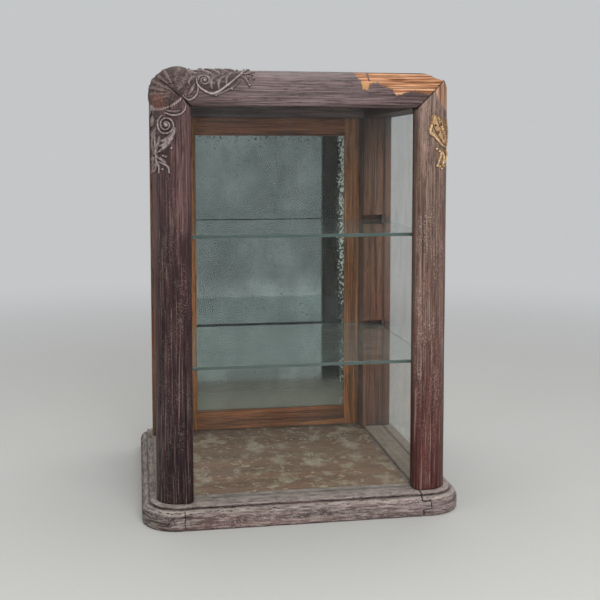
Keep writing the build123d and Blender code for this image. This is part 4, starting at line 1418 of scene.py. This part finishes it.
@dataclass(frozen=True)
class Studio:
    """Pale floor, soft lamps and the camera.

    Attributes:
        floor: Colour of the floor.
        backdrop: Colour of the background.
        half_floor: Half the side of the square floor in metres.
        sky: Level of the even light.
        eye: Place of the camera in millimetres.
        yaw: Turn of the camera to the right of +Y in degrees.
        pitch: Tilt of the camera above the horizon in degrees.
        lens: Focal length in millimetres.
        sensor: Width of the sensor in millimetres.
        shift: Upward shift of the picture in frame widths.
        lamps: The lamps. The front one lights the inside through the glass, and stays out of the mirror.
    """

    floor: str = "#c9c9c6"
    backdrop: str = "#c4c6c8"
    half_floor: float = 12.0
    sky: float = 0.45
    eye: Place = (-213.472, -1390.231, 471.22)
    yaw: float = 9.595
    pitch: float = -4.299
    lens: float = 57.92
    sensor: float = 36.0
    shift: float = -0.1167
    lamps: tuple[Lamp, ...] = (
        Lamp("key", (0.35, -1.8, 1.55), 0.3, 1.2, 14.0),
        Lamp("fill", (-1.7, -0.9, 0.9), 0.3, 1.0, 5.0),
        Lamp("front", (0.0, -2.0, 0.75), 0.3, 1.0, 19.0, hidden=True),
        Lamp("top", (0.1, 0.3, 1.9), 0.2, 1.0, 9.0),
    )

    def build_floor(self) -> None:
        """Lays a plain square of floor."""
        mesh = bpy.data.meshes.new("studio_floor")
        half = self.half_floor
        corners = [(-half, -half, 0), (half, -half, 0), (half, half, 0), (-half, half, 0)]
        mesh.from_pydata(corners, [], [(0, 1, 2, 3)])
        floor = bpy.data.objects.new("studio_floor", mesh)
        bpy.context.scene.collection.objects.link(floor)
        # Matt paint that shows no reflection of the case
        material, put = new_material("matt studio floor")
        paint = put("ShaderNodeBsdfPrincipled", {"Base Color": linear(self.floor), "Roughness": 0.9})
        # Far off, the floor runs into the backdrop, so that no horizon shows
        point = put("ShaderNodeTexCoord").outputs["Object"]
        away = put("ShaderNodeVectorMath", {0: point}, operation="LENGTH").outputs["Value"]
        far = put("ShaderNodeMapRange", {"Value": away, **limits(0.5, 2.4)}, **SMOOTH)
        distant = put("ShaderNodeEmission", {"Color": linear(self.backdrop), "Strength": 1.0})
        mixed = put("ShaderNodeMixShader", {0: together(put, far, seen_plainly(put)), 1: paint, 2: distant})
        put("ShaderNodeOutputMaterial", {"Surface": mixed})
        mesh.materials.append(material)

    def build_world(self) -> None:
        """Sets an even light, and the plain backdrop for the camera and for what metal and glass show."""
        world = bpy.data.worlds.new("studio")
        world.use_nodes = True
        world.node_tree.nodes.clear()
        put = partial(add_node, world.node_tree)
        light = put("ShaderNodeBackground", {"Color": (1, 1, 1, 1), "Strength": self.sky})
        backdrop = put("ShaderNodeBackground", {"Color": linear(self.backdrop), "Strength": 1.0})
        mixed = put("ShaderNodeMixShader", {0: seen_plainly(put), 1: light, 2: backdrop})
        put("ShaderNodeOutputWorld", {"Surface": mixed})
        bpy.context.scene.world = world

    def build_camera(self) -> None:
        """Places the camera where the object was seen from."""
        data = bpy.data.cameras.new("camera")
        data.lens, data.sensor_width, data.shift_y = self.lens, self.sensor, self.shift
        camera = bpy.data.objects.new("camera", data)
        bpy.context.scene.collection.objects.link(camera)
        camera.location = [value / 1000 for value in self.eye]
        camera.rotation_euler = (math.radians(90 + self.pitch), 0.0, math.radians(-self.yaw))
        bpy.context.scene.camera = camera

    def build(self) -> None:
        """Builds the floor, the world, the lamps and the camera."""
        self.build_floor()
        self.build_world()
        for lamp in self.lamps:
            lamp.build()
        self.build_camera()


made: dict[Any, bpy.types.Material] = {}


def wear_finishes(nodes: dict[str, bpy.types.Object], finishes: dict[str, Any]) -> None:
    """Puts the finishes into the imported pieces' own material slots.

    Args:
        nodes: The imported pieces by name.
        finishes: Finish for each piece.
    """
    for name, finish in finishes.items():
        if finish not in made:
            made[finish] = finish.dress()
        mesh = nodes[name].data
        if not mesh.materials:
            mesh.materials.append(None)
        for place in range(len(mesh.materials)):
            mesh.materials[place] = made[finish]
        log.info("%s: %s", name, finish.name)


@dataclass
class Carcass:
    """Front frame, side rails, rear posts, top, base and floor, in worn stained wood.

    Attributes:
        nodes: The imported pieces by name.
        left: Finish of the left post.
        right: Finish of the right post.
        rail: Finish of the top rail.
        base: Finish of the base moulding.
        floor: Finish of the floor board.
    """

    nodes: dict[str, bpy.types.Object]
    # Nearly black brown with a red cast, lighter and greyer towards the top, mostly painted light and partly
    # dust, under long pale scratches
    left: WoodFinish = WoodFinish(
        "stained oak veneer on the left post",
        Grain.Z,
        ((0.0, "#221115"), (0.2, "#26141a"), (0.5, "#321c1f"), (0.82, "#4d3636"), (1.0, "#584444")),
        scratch="#9a837a",
        scratches=0.5,
        specks=((0.1, 0.3), (0.45, 0.4), (0.9, 0.15)),
        contrast=0.6,
        rough=0.44,
        seed=11.0,
    )
    # Pale brown above, red at the foot: lighter upwards, mostly painted light and partly dust; varnish specks,
    # thickest in the middle
    right: WoodFinish = WoodFinish(
        "sun-bleached oak veneer on the right post",
        Grain.Z,
        (
            (0.0, "#45211f"), (0.2, "#4f2a27"), (0.38, "#5d3f39"),
            (0.5, "#674e46"), (0.75, "#6b544a"), (1.0, "#7f6a61"),
        ),
        scratch="#b7a294",
        scratches=0.4,
        speck="#ab998d",
        specks=((0.15, 0.2), (0.4, 1.0), (0.62, 0.9), (0.8, 0.4)),
        contrast=0.42,
        rough=0.5,
        seed=17.0,
    )
    # Purplish grey brown under a film of dust, with pale scratches along it
    rail: WoodFinish = WoodFinish(
        "stained oak veneer of the top rail, bare at one end",
        Grain.X,
        ((0.0, "#5c4b48"), (0.5, "#665657"), (1.0, "#574544")),
        span=(0, -193.0, 193.0),
        scratch="#9d8e8f",
        scratches=0.5,
        specks=((0.0, 0.3), (1.0, 0.3)),
        dusty=0.35,
        dust="#8b7f7c",
        contrast=0.45,
        rough=0.48,
        seed=23.0,
    )
    # Dark stain that shows only in lines through a pale crust of dust
    base: WoodFinish = WoodFinish(
        "stained base moulding under settled dust",
        Grain.X,
        ((0.0, "#382928"), (0.2, "#523f3d"), (0.5, "#604e4c"), (1.0, "#6b5b5b")),
        span=(0, -212.0, 212.0),
        pores=0.35,
        dust="#c8bcb3",
        dusty=0.65,
        mottle=0.34,
        scratches=0.3,
        specks=((0.0, 0.45), (1.0, 0.45)),
        speck="#bdb1aa",
        crevice=0.5,
        rough=0.56,
        follows=True,
        seed=47.0,
    )
    # Flat brown, darker at the back, with powdery pale patches and thin curved scuffs
    floor: WoodFinish = WoodFinish(
        "worn floor board under dust",
        Grain.X,
        ((0.0, "#84604e"), (0.5, "#876554"), (0.85, "#704b38"), (1.0, "#593726")),
        span=(1, -146.0, 157.0),
        figure=24.0,
        contrast=0.25,
        pores=0.3,
        scratches=0.3,
        scratch="#b3a594",
        dust="#c9bfa8",
        dusty=0.12,
        mottle=0.72,
        blotch=(42.0, 30.0),
        scuffs=0.75,
        specks=((0.0, 0.5), (1.0, 0.5)),
        speck="#aa9c8d",
        rough=0.6,
        seed=53.0,
    )

    def side_veneer(self, grain: Grain, seed: float) -> WoodFinish:
        """Gives the finish behind the front frame: dark brown, redder low down, its tops dull with dust."""
        tones = ((0.0, "#63483a"), (0.3, "#6b4230"), (0.7, "#6f4e3e"), (1.0, "#4b3a36"))
        name = f"dark stained oak {seed:.0f}"
        return WoodFinish(name, grain, tones, dusty=0.4, specks=((0.0, 0.2),), seed=seed)

    def plain(self, name: str, grain: Grain, start: str, end: str, **others: Any) -> WoodFinish:
        """Gives a finish of two tones."""
        return WoodFinish(name, grain, ((0.0, start), (1.0, end)), **others)

    def dress(self) -> None:
        """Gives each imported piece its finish, and builds the pieces whose wear is cut into them."""
        FrontFrame().build_all(self.left.dress(), self.right.dress(), self.rail.dress())
        side = self.side_veneer(Grain.Y, 37.0).dress()
        for hand in (-1, 1):
            SideRail().build(hand, side)
        BaseMoulding().build(self.base.dress())
        dust = {"dust": "#b3a699", "dusty": 0.6, "contrast": 0.3, "seed": 39.0}
        # Wood that shows only as a brown breath under grey dust
        sill = self.plain("dusty side sill", Grain.Y, "#9a8476", "#9a8476", **dust)
        # Greyed stain, its top dull with dust
        header = self.plain("dark stained header", Grain.X, "#675251", "#5d4b4b", dusty=0.5, seed=43.0)
        back = self.plain("dark stained back rail", Grain.X, "#5a4741", "#5a4741", dusty=0.6, seed=57.0)
        # Unstained yellow brown, hardly seen
        hidden = self.plain("plain softwood", Grain.Y, "#7d6147", "#8a6c4f", seed=59.0)
        finishes: dict[str, Any] = {}
        for finish, names in (
            (
                self.side_veneer(Grain.Z, 31.0),
                ("rear_post_left", "rear_post_right", "glass_bead_left", "glass_bead_right"),
            ),
            (sill, ("side_sill_left", "side_sill_right")),
            (header, ("rear_header", "top_panel", "glass_bead_top")),
            (self.floor, ("floor_panel",)),
            (back, ("base_back_rail",)),
            (hidden, ("floor_cleat_left", "floor_cleat_right", "top_dowels", "base_dowels")),
        ):
            finishes |= dict.fromkeys(names, finish)
        wear_finishes(self.nodes, finishes)


@dataclass
class BackDoor:
    """Oak door with its mirror, backboard, hinges and knob, and the turn button that keeps it shut.

    Attributes:
        nodes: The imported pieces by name.
        mirror: Finish of the mirror.
        brass: Finish of the knob, the hinge leaves and the button.
        steel: Finish of the hinge pins and the button's screw.
    """

    nodes: dict[str, bpy.types.Object]
    # Dim grey green picture of the inside, clouded, with pale and dark spots down one edge
    mirror: MirrorFinish = MirrorFinish("tarnished silvered plate")
    # Yellow where hands rub it, brown elsewhere
    brass: MetalFinish = MetalFinish("cast brass gone brown", "#b08d4e", "#6b5230", 0.3)
    # Dull grey with brown spots
    steel: MetalFinish = MetalFinish("drawn steel with a little rust", "#8e8d8a", "#5b4a40", 0.35)

    def oak(self, grain: Grain, tones: Tones, seed: float) -> WoodFinish:
        """Gives the golden brown finish of the door, with dark pores and a little gloss."""
        shared = {"contrast": 0.55, "pores": 0.8, "pore": "#241006", "scratch": "#b9824f", "rough": 0.4}
        return WoodFinish(f"fumed oak {seed:.0f}", grain, tones, **shared, seed=seed)

    def dress(self) -> None:
        """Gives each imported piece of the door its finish."""
        upright = self.oak(Grain.Z, ((0.0, "#845026"), (0.5, "#8a5630"), (1.0, "#825536")), 61.0)
        level = self.oak(Grain.X, ((0.0, "#6b3f22"), (1.0, "#704530")), 67.0)
        # Pale resinous wood with broad dark and light figure
        pale = ((0.0, "#7a5b3e"), (1.0, "#8d6c4b"))
        pine = WoodFinish("thin pine backboard", Grain.Z, pale, figure=30.0, seed=71.0)
        # Plain brown, darker than the door round it
        fillet = WoodFinish("stained fillets", Grain.Z, ((0.0, "#5b3a25"), (1.0, "#6a4630")), seed=73.0)
        finishes: dict[str, Any] = {
            "door_stile_lock": upright,
            "door_stile_hinge": upright,
            "door_rail_top": level,
            "door_rail_bottom": level,
            "mirror_plate": self.mirror,
            "mirror_backboard": pine,
            "mirror_fillets": fillet,
            "door_knob": self.brass,
            "turn_button": self.brass,
            "turn_button_screw": self.steel,
        }
        finishes |= {name: self.brass for name in self.nodes if "_leaf_" in name}
        finishes |= {name: self.steel for name in self.nodes if name.startswith("hinge_pin")}
        wear_finishes(self.nodes, finishes)


@dataclass
class Glazing:
    """Front glass, side glass and the two loose shelves.

    Attributes:
        nodes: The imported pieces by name.
        front: Finish of the front glass.
        pane: Finish of the side glass.
        shelf: Finish of the shelves.
    """

    nodes: dict[str, bpy.types.Object]
    # All but unseen
    front: GlassFinish = GlassFinish("clean sheet glass", dusty=0.01, index=1.18)
    # Seen by its reflections and a faint grey smear
    pane: GlassFinish = GlassFinish("old sheet glass under a thin film")
    # Faint blue green, with a dark green line of edge
    shelf: GlassFinish = GlassFinish(
        "green-edged shelf glass", clear="#eef7f4", dust="#a9c9c1", dusty=0.1, lit_edge=True
    )

    def dress(self) -> None:
        """Gives each sheet its finish."""
        starts = {"side_glass": self.pane, "glass_shelf": self.shelf, "front_glass": self.front}
        for start, finish in starts.items():
            wear_finishes(self.nodes, {name: finish for name in self.nodes if name.startswith(start)})


@dataclass
class Ornament:
    """Composition ornament on the top corners, cast, gilded once and dark with age.

    Places are measured on the unrolled face: along the rail or round the post first, then upwards.

    Attributes:
        stem: Half width of a main stem.
        twig: Half width of a side stem.
        rise: Height of the main strokes.
    """

    stem: float = 2.3
    twig: float = 1.5
    rise: float = 2.7

    def curls(self, *curls: tuple[Pair, float, float, float, float]) -> list[Stroke]:
        """Makes volutes, tapered spirals round a bud, each from centre, radius, turns, start and half width."""
        strokes = []
        for centre, radius, turns, start, width in curls:
            winding = spiral(centre, radius - width, turns, start)
            strokes.append(Stroke(winding, (width, width, 0.7 * width), self.rise - 0.3))
            strokes.append(Stroke((centre,), (0.24 * radius + 0.4,), self.rise))
        return strokes

    def leaves(self, *leaves: tuple[Any, ...], rise: float = 2.5) -> list[Stroke]:
        """Makes pointed leaves with a midrib and side veins, each from its half width and its line."""
        shape = (0.5, 1.15, 1.0)
        strokes = []
        for width, *line in leaves:
            widths = (*(width * share for share in shape), 0.4)
            strokes.append(Stroke(tuple(line), widths, rise, ridge=0.42, pitch=2.3, slant=1.1))
        return strokes

    def buds(self, *groups: tuple[Any, ...]) -> list[Stroke]:
        """Makes round buds, each group from its radius and the places of its buds."""
        return [Stroke((place,), (radius,), self.rise) for radius, *places in groups for place in places]

    def rail_scroll(self) -> Relief:
        """Draws the scroll from the left corner along the top rail, with acanthus leaves over its stem."""
        main = (
            (-138.6, 568.5), (-137.6, 561.4), (-130.8, 554.8), (-121.0, 550.6), (-113.2, 552.3),
            (-103.3, 558.6), (-92.7, 567.1), (-83.5, 576.0), (-75.3, 586.5),
        )
        lower = (
            (-130.8, 554.0), (-122.3, 549.6), (-113.8, 549.3), (-104.9, 553.0), (-95.1, 557.6),
            (-89.8, 561.0), (-84.6, 567.7),
        )
        corner = (
            (-137.1, 559.6), (-137.6, 551.7), (-142.3, 545.0), (-148.1, 542.2), (-153.3, 544.9),
            (-155.6, 548.3),
        )
        ground = ((-143.0, 575.0), (-128.0, 573.0), (-112.0, 573.0), (-96.0, 580.0), (-82.0, 586.0))
        strokes = [
            Stroke(main, (1.0, self.stem, self.stem, 1.5, 1.1), self.rise),
            Stroke(lower, (0.8, self.twig, self.twig, 0.8), self.rise - 0.6),
            Stroke(corner, (1.1, 1.7, 1.6, 1.0), self.rise - 0.2),
            # Low ground that the leaves stand on
            Stroke(ground, (11.0, 15.0, 15.0, 9.0, 3.0), 0.7),
        ]
        strokes += self.curls(
            ((-128.9, 567.1), 9.3, -1.6, 175.0, 1.35),
            ((-105.0, 580.5), 3.6, 1.2, 250.0, 0.8),
            ((-133.5, 592.5), 4.0, 1.2, 300.0, 0.9),
            ((-117.5, 563.0), 3.4, -1.2, 250.0, 0.8),
            ((-74.5, 573.0), 4.2, 1.1, 120.0, 0.9),
        )
        strokes += self.leaves(
            # At the corner
            (2.6, (-141.0, 562.0), (-145.2, 553.6), (-149.7, 548.0)),
            # Leaves that roll from the stem up to the crest of the rail
            (2.7, (-119.5, 556.5), (-121.0, 564.0), (-117.5, 571.5), (-111.5, 573.0)),
            (2.6, (-111.0, 556.0), (-111.0, 564.5), (-106.5, 571.5), (-100.5, 573.5)),
            (2.3, (-101.5, 561.5), (-101.0, 570.0), (-97.0, 577.5), (-91.5, 580.5)),
            (3.0, (-118.0, 574.5), (-123.5, 581.0), (-131.5, 586.5), (-140.0, 585.0)),
            (2.8, (-108.5, 576.0), (-112.5, 584.0), (-119.5, 591.0), (-128.0, 593.0)),
            (2.6, (-98.5, 579.0), (-101.5, 586.5), (-107.5, 592.5), (-115.0, 595.5)),
            (2.2, (-89.0, 580.5), (-91.0, 587.5), (-96.0, 593.0), (-103.0, 596.0)),
            (2.8, (-137.0, 578.0), (-143.0, 580.5), (-147.0, 588.0), (-146.5, 597.0)),
            (2.3, (-139.5, 572.0), (-145.0, 570.0), (-148.0, 564.5), (-147.0, 559.0)),
            # Tuft of leaves at the free end
            (2.4, (-84.5, 577.5), (-79.0, 583.5), (-74.0, 590.0), (-70.0, 595.0)),
            (2.2, (-81.0, 578.0), (-74.5, 579.5), (-69.5, 582.5), (-64.5, 583.5)),
            (1.9, (-82.0, 574.5), (-77.0, 570.0), (-74.5, 565.5), (-72.5, 560.5)),
        )
        strokes += self.buds(
            (1.7, (-114.5, 548.2)),
            (1.9, (-94.7, 556.4)),
            (2.0, (-72.6, 561.2)),
            (1.6, (-68.0, 577.0), (-66.8, 571.0), (-77.5, 590.5), (-86.5, 589.0), (-124.0, 576.0)),
        )
        face = FrameFace(False, 0, (-158.0, -60.0, 540.0, 601.0))
        return Relief("rail_scroll_relief", face, tuple(strokes), seed=5)

    def post_scroll(self) -> Relief:
        """Draws the scroll that hangs down the left post: two volutes, a plume and three drops."""
        link = (
            (-155.6, 542.4), (-152.5, 535.9), (-154.0, 529.7), (-159.5, 524.7), (-168.6, 523.4),
            (-177.5, 526.2),
        )
        last_drop = ((-188.0, 465.7), (-179.0, 462.7), (-174.0, 458.0), (-173.4, 452.3))
        stalk = ((-195.2, 500.0), (-194.6, 491.4), (-193.2, 481.6), (-192.2, 471.2), (-191.1, 460.8))
        strokes = [
            Stroke(link, (0.9, 1.6, 1.9, 1.2), 2.4),
            Stroke(stalk, (1.2, 2.4, 2.2, 1.2), 2.5),
            Stroke(((-209.6, 488.0), (-201.3, 480.3), (-192.2, 473.2), (-184.0, 468.0)), (1.8, 2.0, 1.0), 2.2),
            # The three drops
            Stroke(((-191.1, 464.7), (-199.0, 459.5), (-204.5, 452.0)), (1.6, 2.0, 1.0), 2.4),
            Stroke(((-189.5, 464.7), (-187.2, 457.9), (-188.0, 452.5)), (1.6, 2.1, 1.0), 2.4),
            Stroke(last_drop, (1.5, 2.1, 1.9, 1.0), 2.4),
            # Low ground between the volutes
            Stroke(((-196.0, 514.0), (-192.0, 500.0), (-189.0, 490.0)), (13.0, 8.0, 4.0), 0.5),
        ]
        strokes += self.curls(
            ((-177.0, 511.6), 14.2, 2.1, 115.0, 1.5),
            ((-204.5, 516.5), 8.2, -1.6, 60.0, 1.2),
            ((-203.5, 499.5), 6.0, 1.5, 320.0, 1.0),
            ((-203.0, 470.0), 4.4, -1.3, 90.0, 0.9),
            ((-178.5, 484.5), 4.2, 1.1, 30.0, 1.1),
        )
        low = (2.0, (-159.0, 529.0), (-166.0, 528.0), (-172.5, 528.5), (-179.0, 530.0))
        strokes += self.leaves(low, rise=2.1)
        strokes += self.leaves(
            # Parallel leaves of the plume under the large volute
            (3.6, (-165.7, 507.5), (-169.5, 498.5), (-179.0, 492.5), (-190.0, 491.5)),
            (3.2, (-166.2, 502.0), (-172.0, 493.0), (-181.0, 487.0), (-190.5, 484.5)),
            (3.0, (-169.0, 495.0), (-175.4, 487.6), (-182.8, 481.5), (-191.0, 476.5)),
            (3.4, (-193.0, 508.0), (-200.0, 500.0), (-203.0, 490.0), (-198.0, 481.0)),
            (3.0, (-186.0, 497.0), (-190.0, 487.0), (-196.0, 478.0), (-203.0, 474.0)),
            # Small leaves that fill the drops at the foot
            (2.6, (-197.0, 471.0), (-201.0, 465.0), (-206.0, 460.0)),
            (2.4, (-185.5, 471.0), (-181.0, 466.5), (-176.5, 464.5)),
            (2.3, (-192.0, 463.0), (-194.5, 457.0), (-197.5, 452.0)),
        )
        strokes += self.buds(
            (2.4, (-170.2, 482.7)),
            (1.9, (-180.9, 473.2)),
            (2.1, (-182.0, 456.5), (-198.5, 454.0), (-177.5, 472.0), (-185.5, 479.0)),
            (1.7, (-173.2, 452.6), (-187.6, 452.6), (-204.6, 452.4), (-193.6, 501.5), (-208.0, 489.5)),
        )
        face = FrameFace(True, -1, (-211.0, -148.0, 449.0, 545.0))
        return Relief("post_scroll_relief", face, tuple(strokes), seed=7)

    def corner_shell(self) -> Relief:
        """Draws the cap: radiating flutes, two veined leaves, roped rims, and the open mitre across it."""
        # Both lie just inside the dome's outline, seen from the front
        rope = (
            (-193.5, 535.5), (-190.0, 532.0), (-183.5, 531.5), (-177.0, 532.5), (-169.5, 535.5),
            (-163.0, 540.0), (-157.5, 545.0),
        )
        hatched = (
            (-153.0, 549.0), (-148.0, 555.0), (-144.5, 563.0), (-143.5, 571.0), (-146.0, 576.5),
            (-150.0, 580.0),
        )
        mitre = ((-184.0, 567.0), (-176.0, 561.5), (-166.0, 552.5), (-157.0, 544.5), (-150.0, 537.5))
        swelling = ((-186.0, 541.0), (-176.0, 556.0), (-162.0, 570.0), (-153.0, 580.0))
        veins = {"ridge": 0.22, "pitch": 2.6, "slant": 0.9}
        strokes = [
            Stroke(((-161.0, 556.0), (-155.5, 565.0), (-149.5, 572.0)), (3.0, 7.5, 5.0), 1.05, **veins),
            Stroke(((-166.0, 566.0), (-163.0, 575.0), (-158.0, 583.0)), (2.0, 6.0, 4.5), 0.95, **veins),
            Stroke(rope, (2.2, 2.3, 2.2, 2.0), 2.6, ridge=0.55, pitch=3.0, slant=1.0, mirrored=False),
            Stroke(hatched, (1.9, 2.2, 2.2, 2.0), 2.2, ridge=0.5, pitch=3.0, slant=0.9, mirrored=False),
            Stroke(swelling, (18.0, 27.0, 26.0, 17.0), 0.35),
            # The open mitre and two cracks that leave it
            Stroke(mitre, (0.5, 1.0, 1.1, 0.9), -1.6),
            Stroke(((-176.0, 561.0), (-170.5, 561.8), (-165.5, 563.4)), (0.4, 0.9, 0.3), -1.0),
            Stroke(((-181.0, 545.0), (-176.0, 552.0), (-171.5, 557.5)), (0.3, 0.7, 0.3), -0.6),
        ]
        # Flutes spread from a hub, by direction in degrees and length
        hub = np.array([-163.0, 549.5])
        for angle, reach in ((118, 36), (135, 35), (151, 34), (166, 33), (180, 31), (194, 28)):
            toward = np.array([math.cos(math.radians(angle)), math.sin(math.radians(angle))])
            line = (hub + toward * np.array([[9.0], [0.55 * reach], [reach]])).tolist()
            strokes.append(Stroke(tuple(map(tuple, line)), (0.8, 2.4, 3.4), 1.3, ridge=0.3, pitch=2.6))
        shape = {"sink": 2.2, "grit": 0.12, "ceiling": 2.6, "seed": 9}
        return Relief("corner_shell_relief", CornerDome(), tuple(strokes), **shape)

    def remnant(self) -> Relief:
        """Draws what is left on the right post: a broken gilt leaf, a ribbon, and drops of beads."""
        folds = (
            (
                1.9, 0.3, 3.6, (5.0, 10.0, 9.0, 4.0),
                (168.0, 522.0), (171.0, 512.0), (176.0, 502.0), (185.0, 492.0),
            ),
            (
                1.5, 0.35, 4.1, (4.5, 8.5, 7.0, 2.5),
                (173.0, 521.5), (181.0, 512.0), (186.0, 500.0), (187.5, 490.0),
            ),
        )
        strokes = []
        for rise, ridge, pitch, widths, *line in folds:
            strokes.append(Stroke(tuple(line), widths, rise, ridge, pitch))
        ribbons = (
            (2.3, (1.0, 2.5, 2.2, 0.8), (166.5, 517.0), (163.0, 508.5), (162.6, 503.0), (166.5, 498.8)),
            (2.7, (1.2, 1.6, 1.4, 0.7), (164.5, 503.5), (171.5, 495.0), (180.0, 487.5), (189.5, 483.5)),
            (1.9, (1.4, 2.6, 2.4, 1.0), (191.0, 521.0), (196.0, 509.0), (196.5, 497.0), (193.0, 487.0)),
            # Drops
            (2.5, (1.5, 2.3, 2.1, 1.4), (180.5, 478.0), (184.0, 472.5), (183.5, 466.0), (181.5, 461.0)),
            (2.5, (1.4, 2.2, 1.9, 1.2), (191.5, 481.0), (193.5, 474.5), (189.5, 467.5), (186.0, 464.5)),
            (2.3, (1.1, 1.9, 1.7, 1.0), (176.5, 481.0), (178.5, 474.0), (175.5, 467.0), (173.5, 462.0)),
            # Holes between the folds of the leaf
            *((-2.8, (size,), (across, up)) for size, across, up in (
                (2.0, 178.5, 514.0), (2.4, 173.5, 503.5), (1.8, 183.5, 496.5), (1.6, 169.5, 512.5),
            )),
            # Clefts between the folds
            (-2.0, (0.5, 1.3, 1.2, 0.5), (172.0, 521.0), (175.5, 512.0), (180.5, 503.0), (186.5, 495.5)),
            (-2.2, (0.5, 1.2, 1.1, 0.5), (165.5, 515.0), (168.5, 507.0), (173.5, 499.5), (180.0, 492.5)),
            (-1.8, (0.5, 1.1, 0.5), (181.0, 519.0), (185.5, 510.0), (189.0, 500.5)),
        )
        strokes += [Stroke(tuple(line), widths, rise) for rise, widths, *line in ribbons]
        strokes += self.curls(((177.0, 509.0), 5.4, 1.2, 200.0, 1.0))
        strokes += self.buds(
            (2.2, (171.4, 482.2), (176.9, 459.4)),
            (1.7, (175.5, 479.0)),
            (2.1, (172.8, 460.3)),
            (1.8, (180.0, 456.8)),
            (1.9, (184.5, 460.0), (190.6, 461.6)),
        )
        face = FrameFace(True, 1, (158.0, 211.0, 452.0, 528.0))
        return Relief("gilt_remnant_relief", face, tuple(strokes), grit=0.32, seed=13)

    def dress(self) -> None:
        """Builds the four reliefs in their finishes."""
        # Brown grey, dark in its hollows with grime and painted shade, pale on its crests with rubbing and a
        # painted highlight
        cast = CompositionFinish("aged composition scrollwork").dress()
        # The same, with a patch of bare red ground low on its left
        bare = {"patch_at": (-186.0, -172.0, 541.0), "patch_size": 15.0}
        shell = CompositionFinish("aged composition shell", body="#6d5a55", **bare).dress()
        # Dull gold with bright crests, rubbed gold with a painted highlight, over a brown ground
        gold = ("#5d4536", "#a8865f", "#e2c8a4")
        gilt = CompositionFinish("worn gilt on composition", *gold, rough=0.42).dress()
        self.rail_scroll().build(cast, "composition", "scroll_ornament_rail")
        self.post_scroll().build(cast, "composition", "scroll_ornament_post")
        self.corner_shell().build(shell, "composition", "corner_cap_left")
        self.remnant().build(gilt, "gilt_composition", "ornament_remnant_right")


def main() -> None:
    """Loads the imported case, dresses it and sets the studio."""
    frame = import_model()
    nodes = frame["nodes"]
    bpy.context.scene.view_settings.view_transform = "Standard"
    for part in (Carcass(nodes), BackDoor(nodes), Glazing(nodes), Ornament()):
        part.dress()
        log.info("%s is dressed", type(part).__name__)
    Studio().build()
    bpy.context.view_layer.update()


if __name__ == "__main__":
    main()
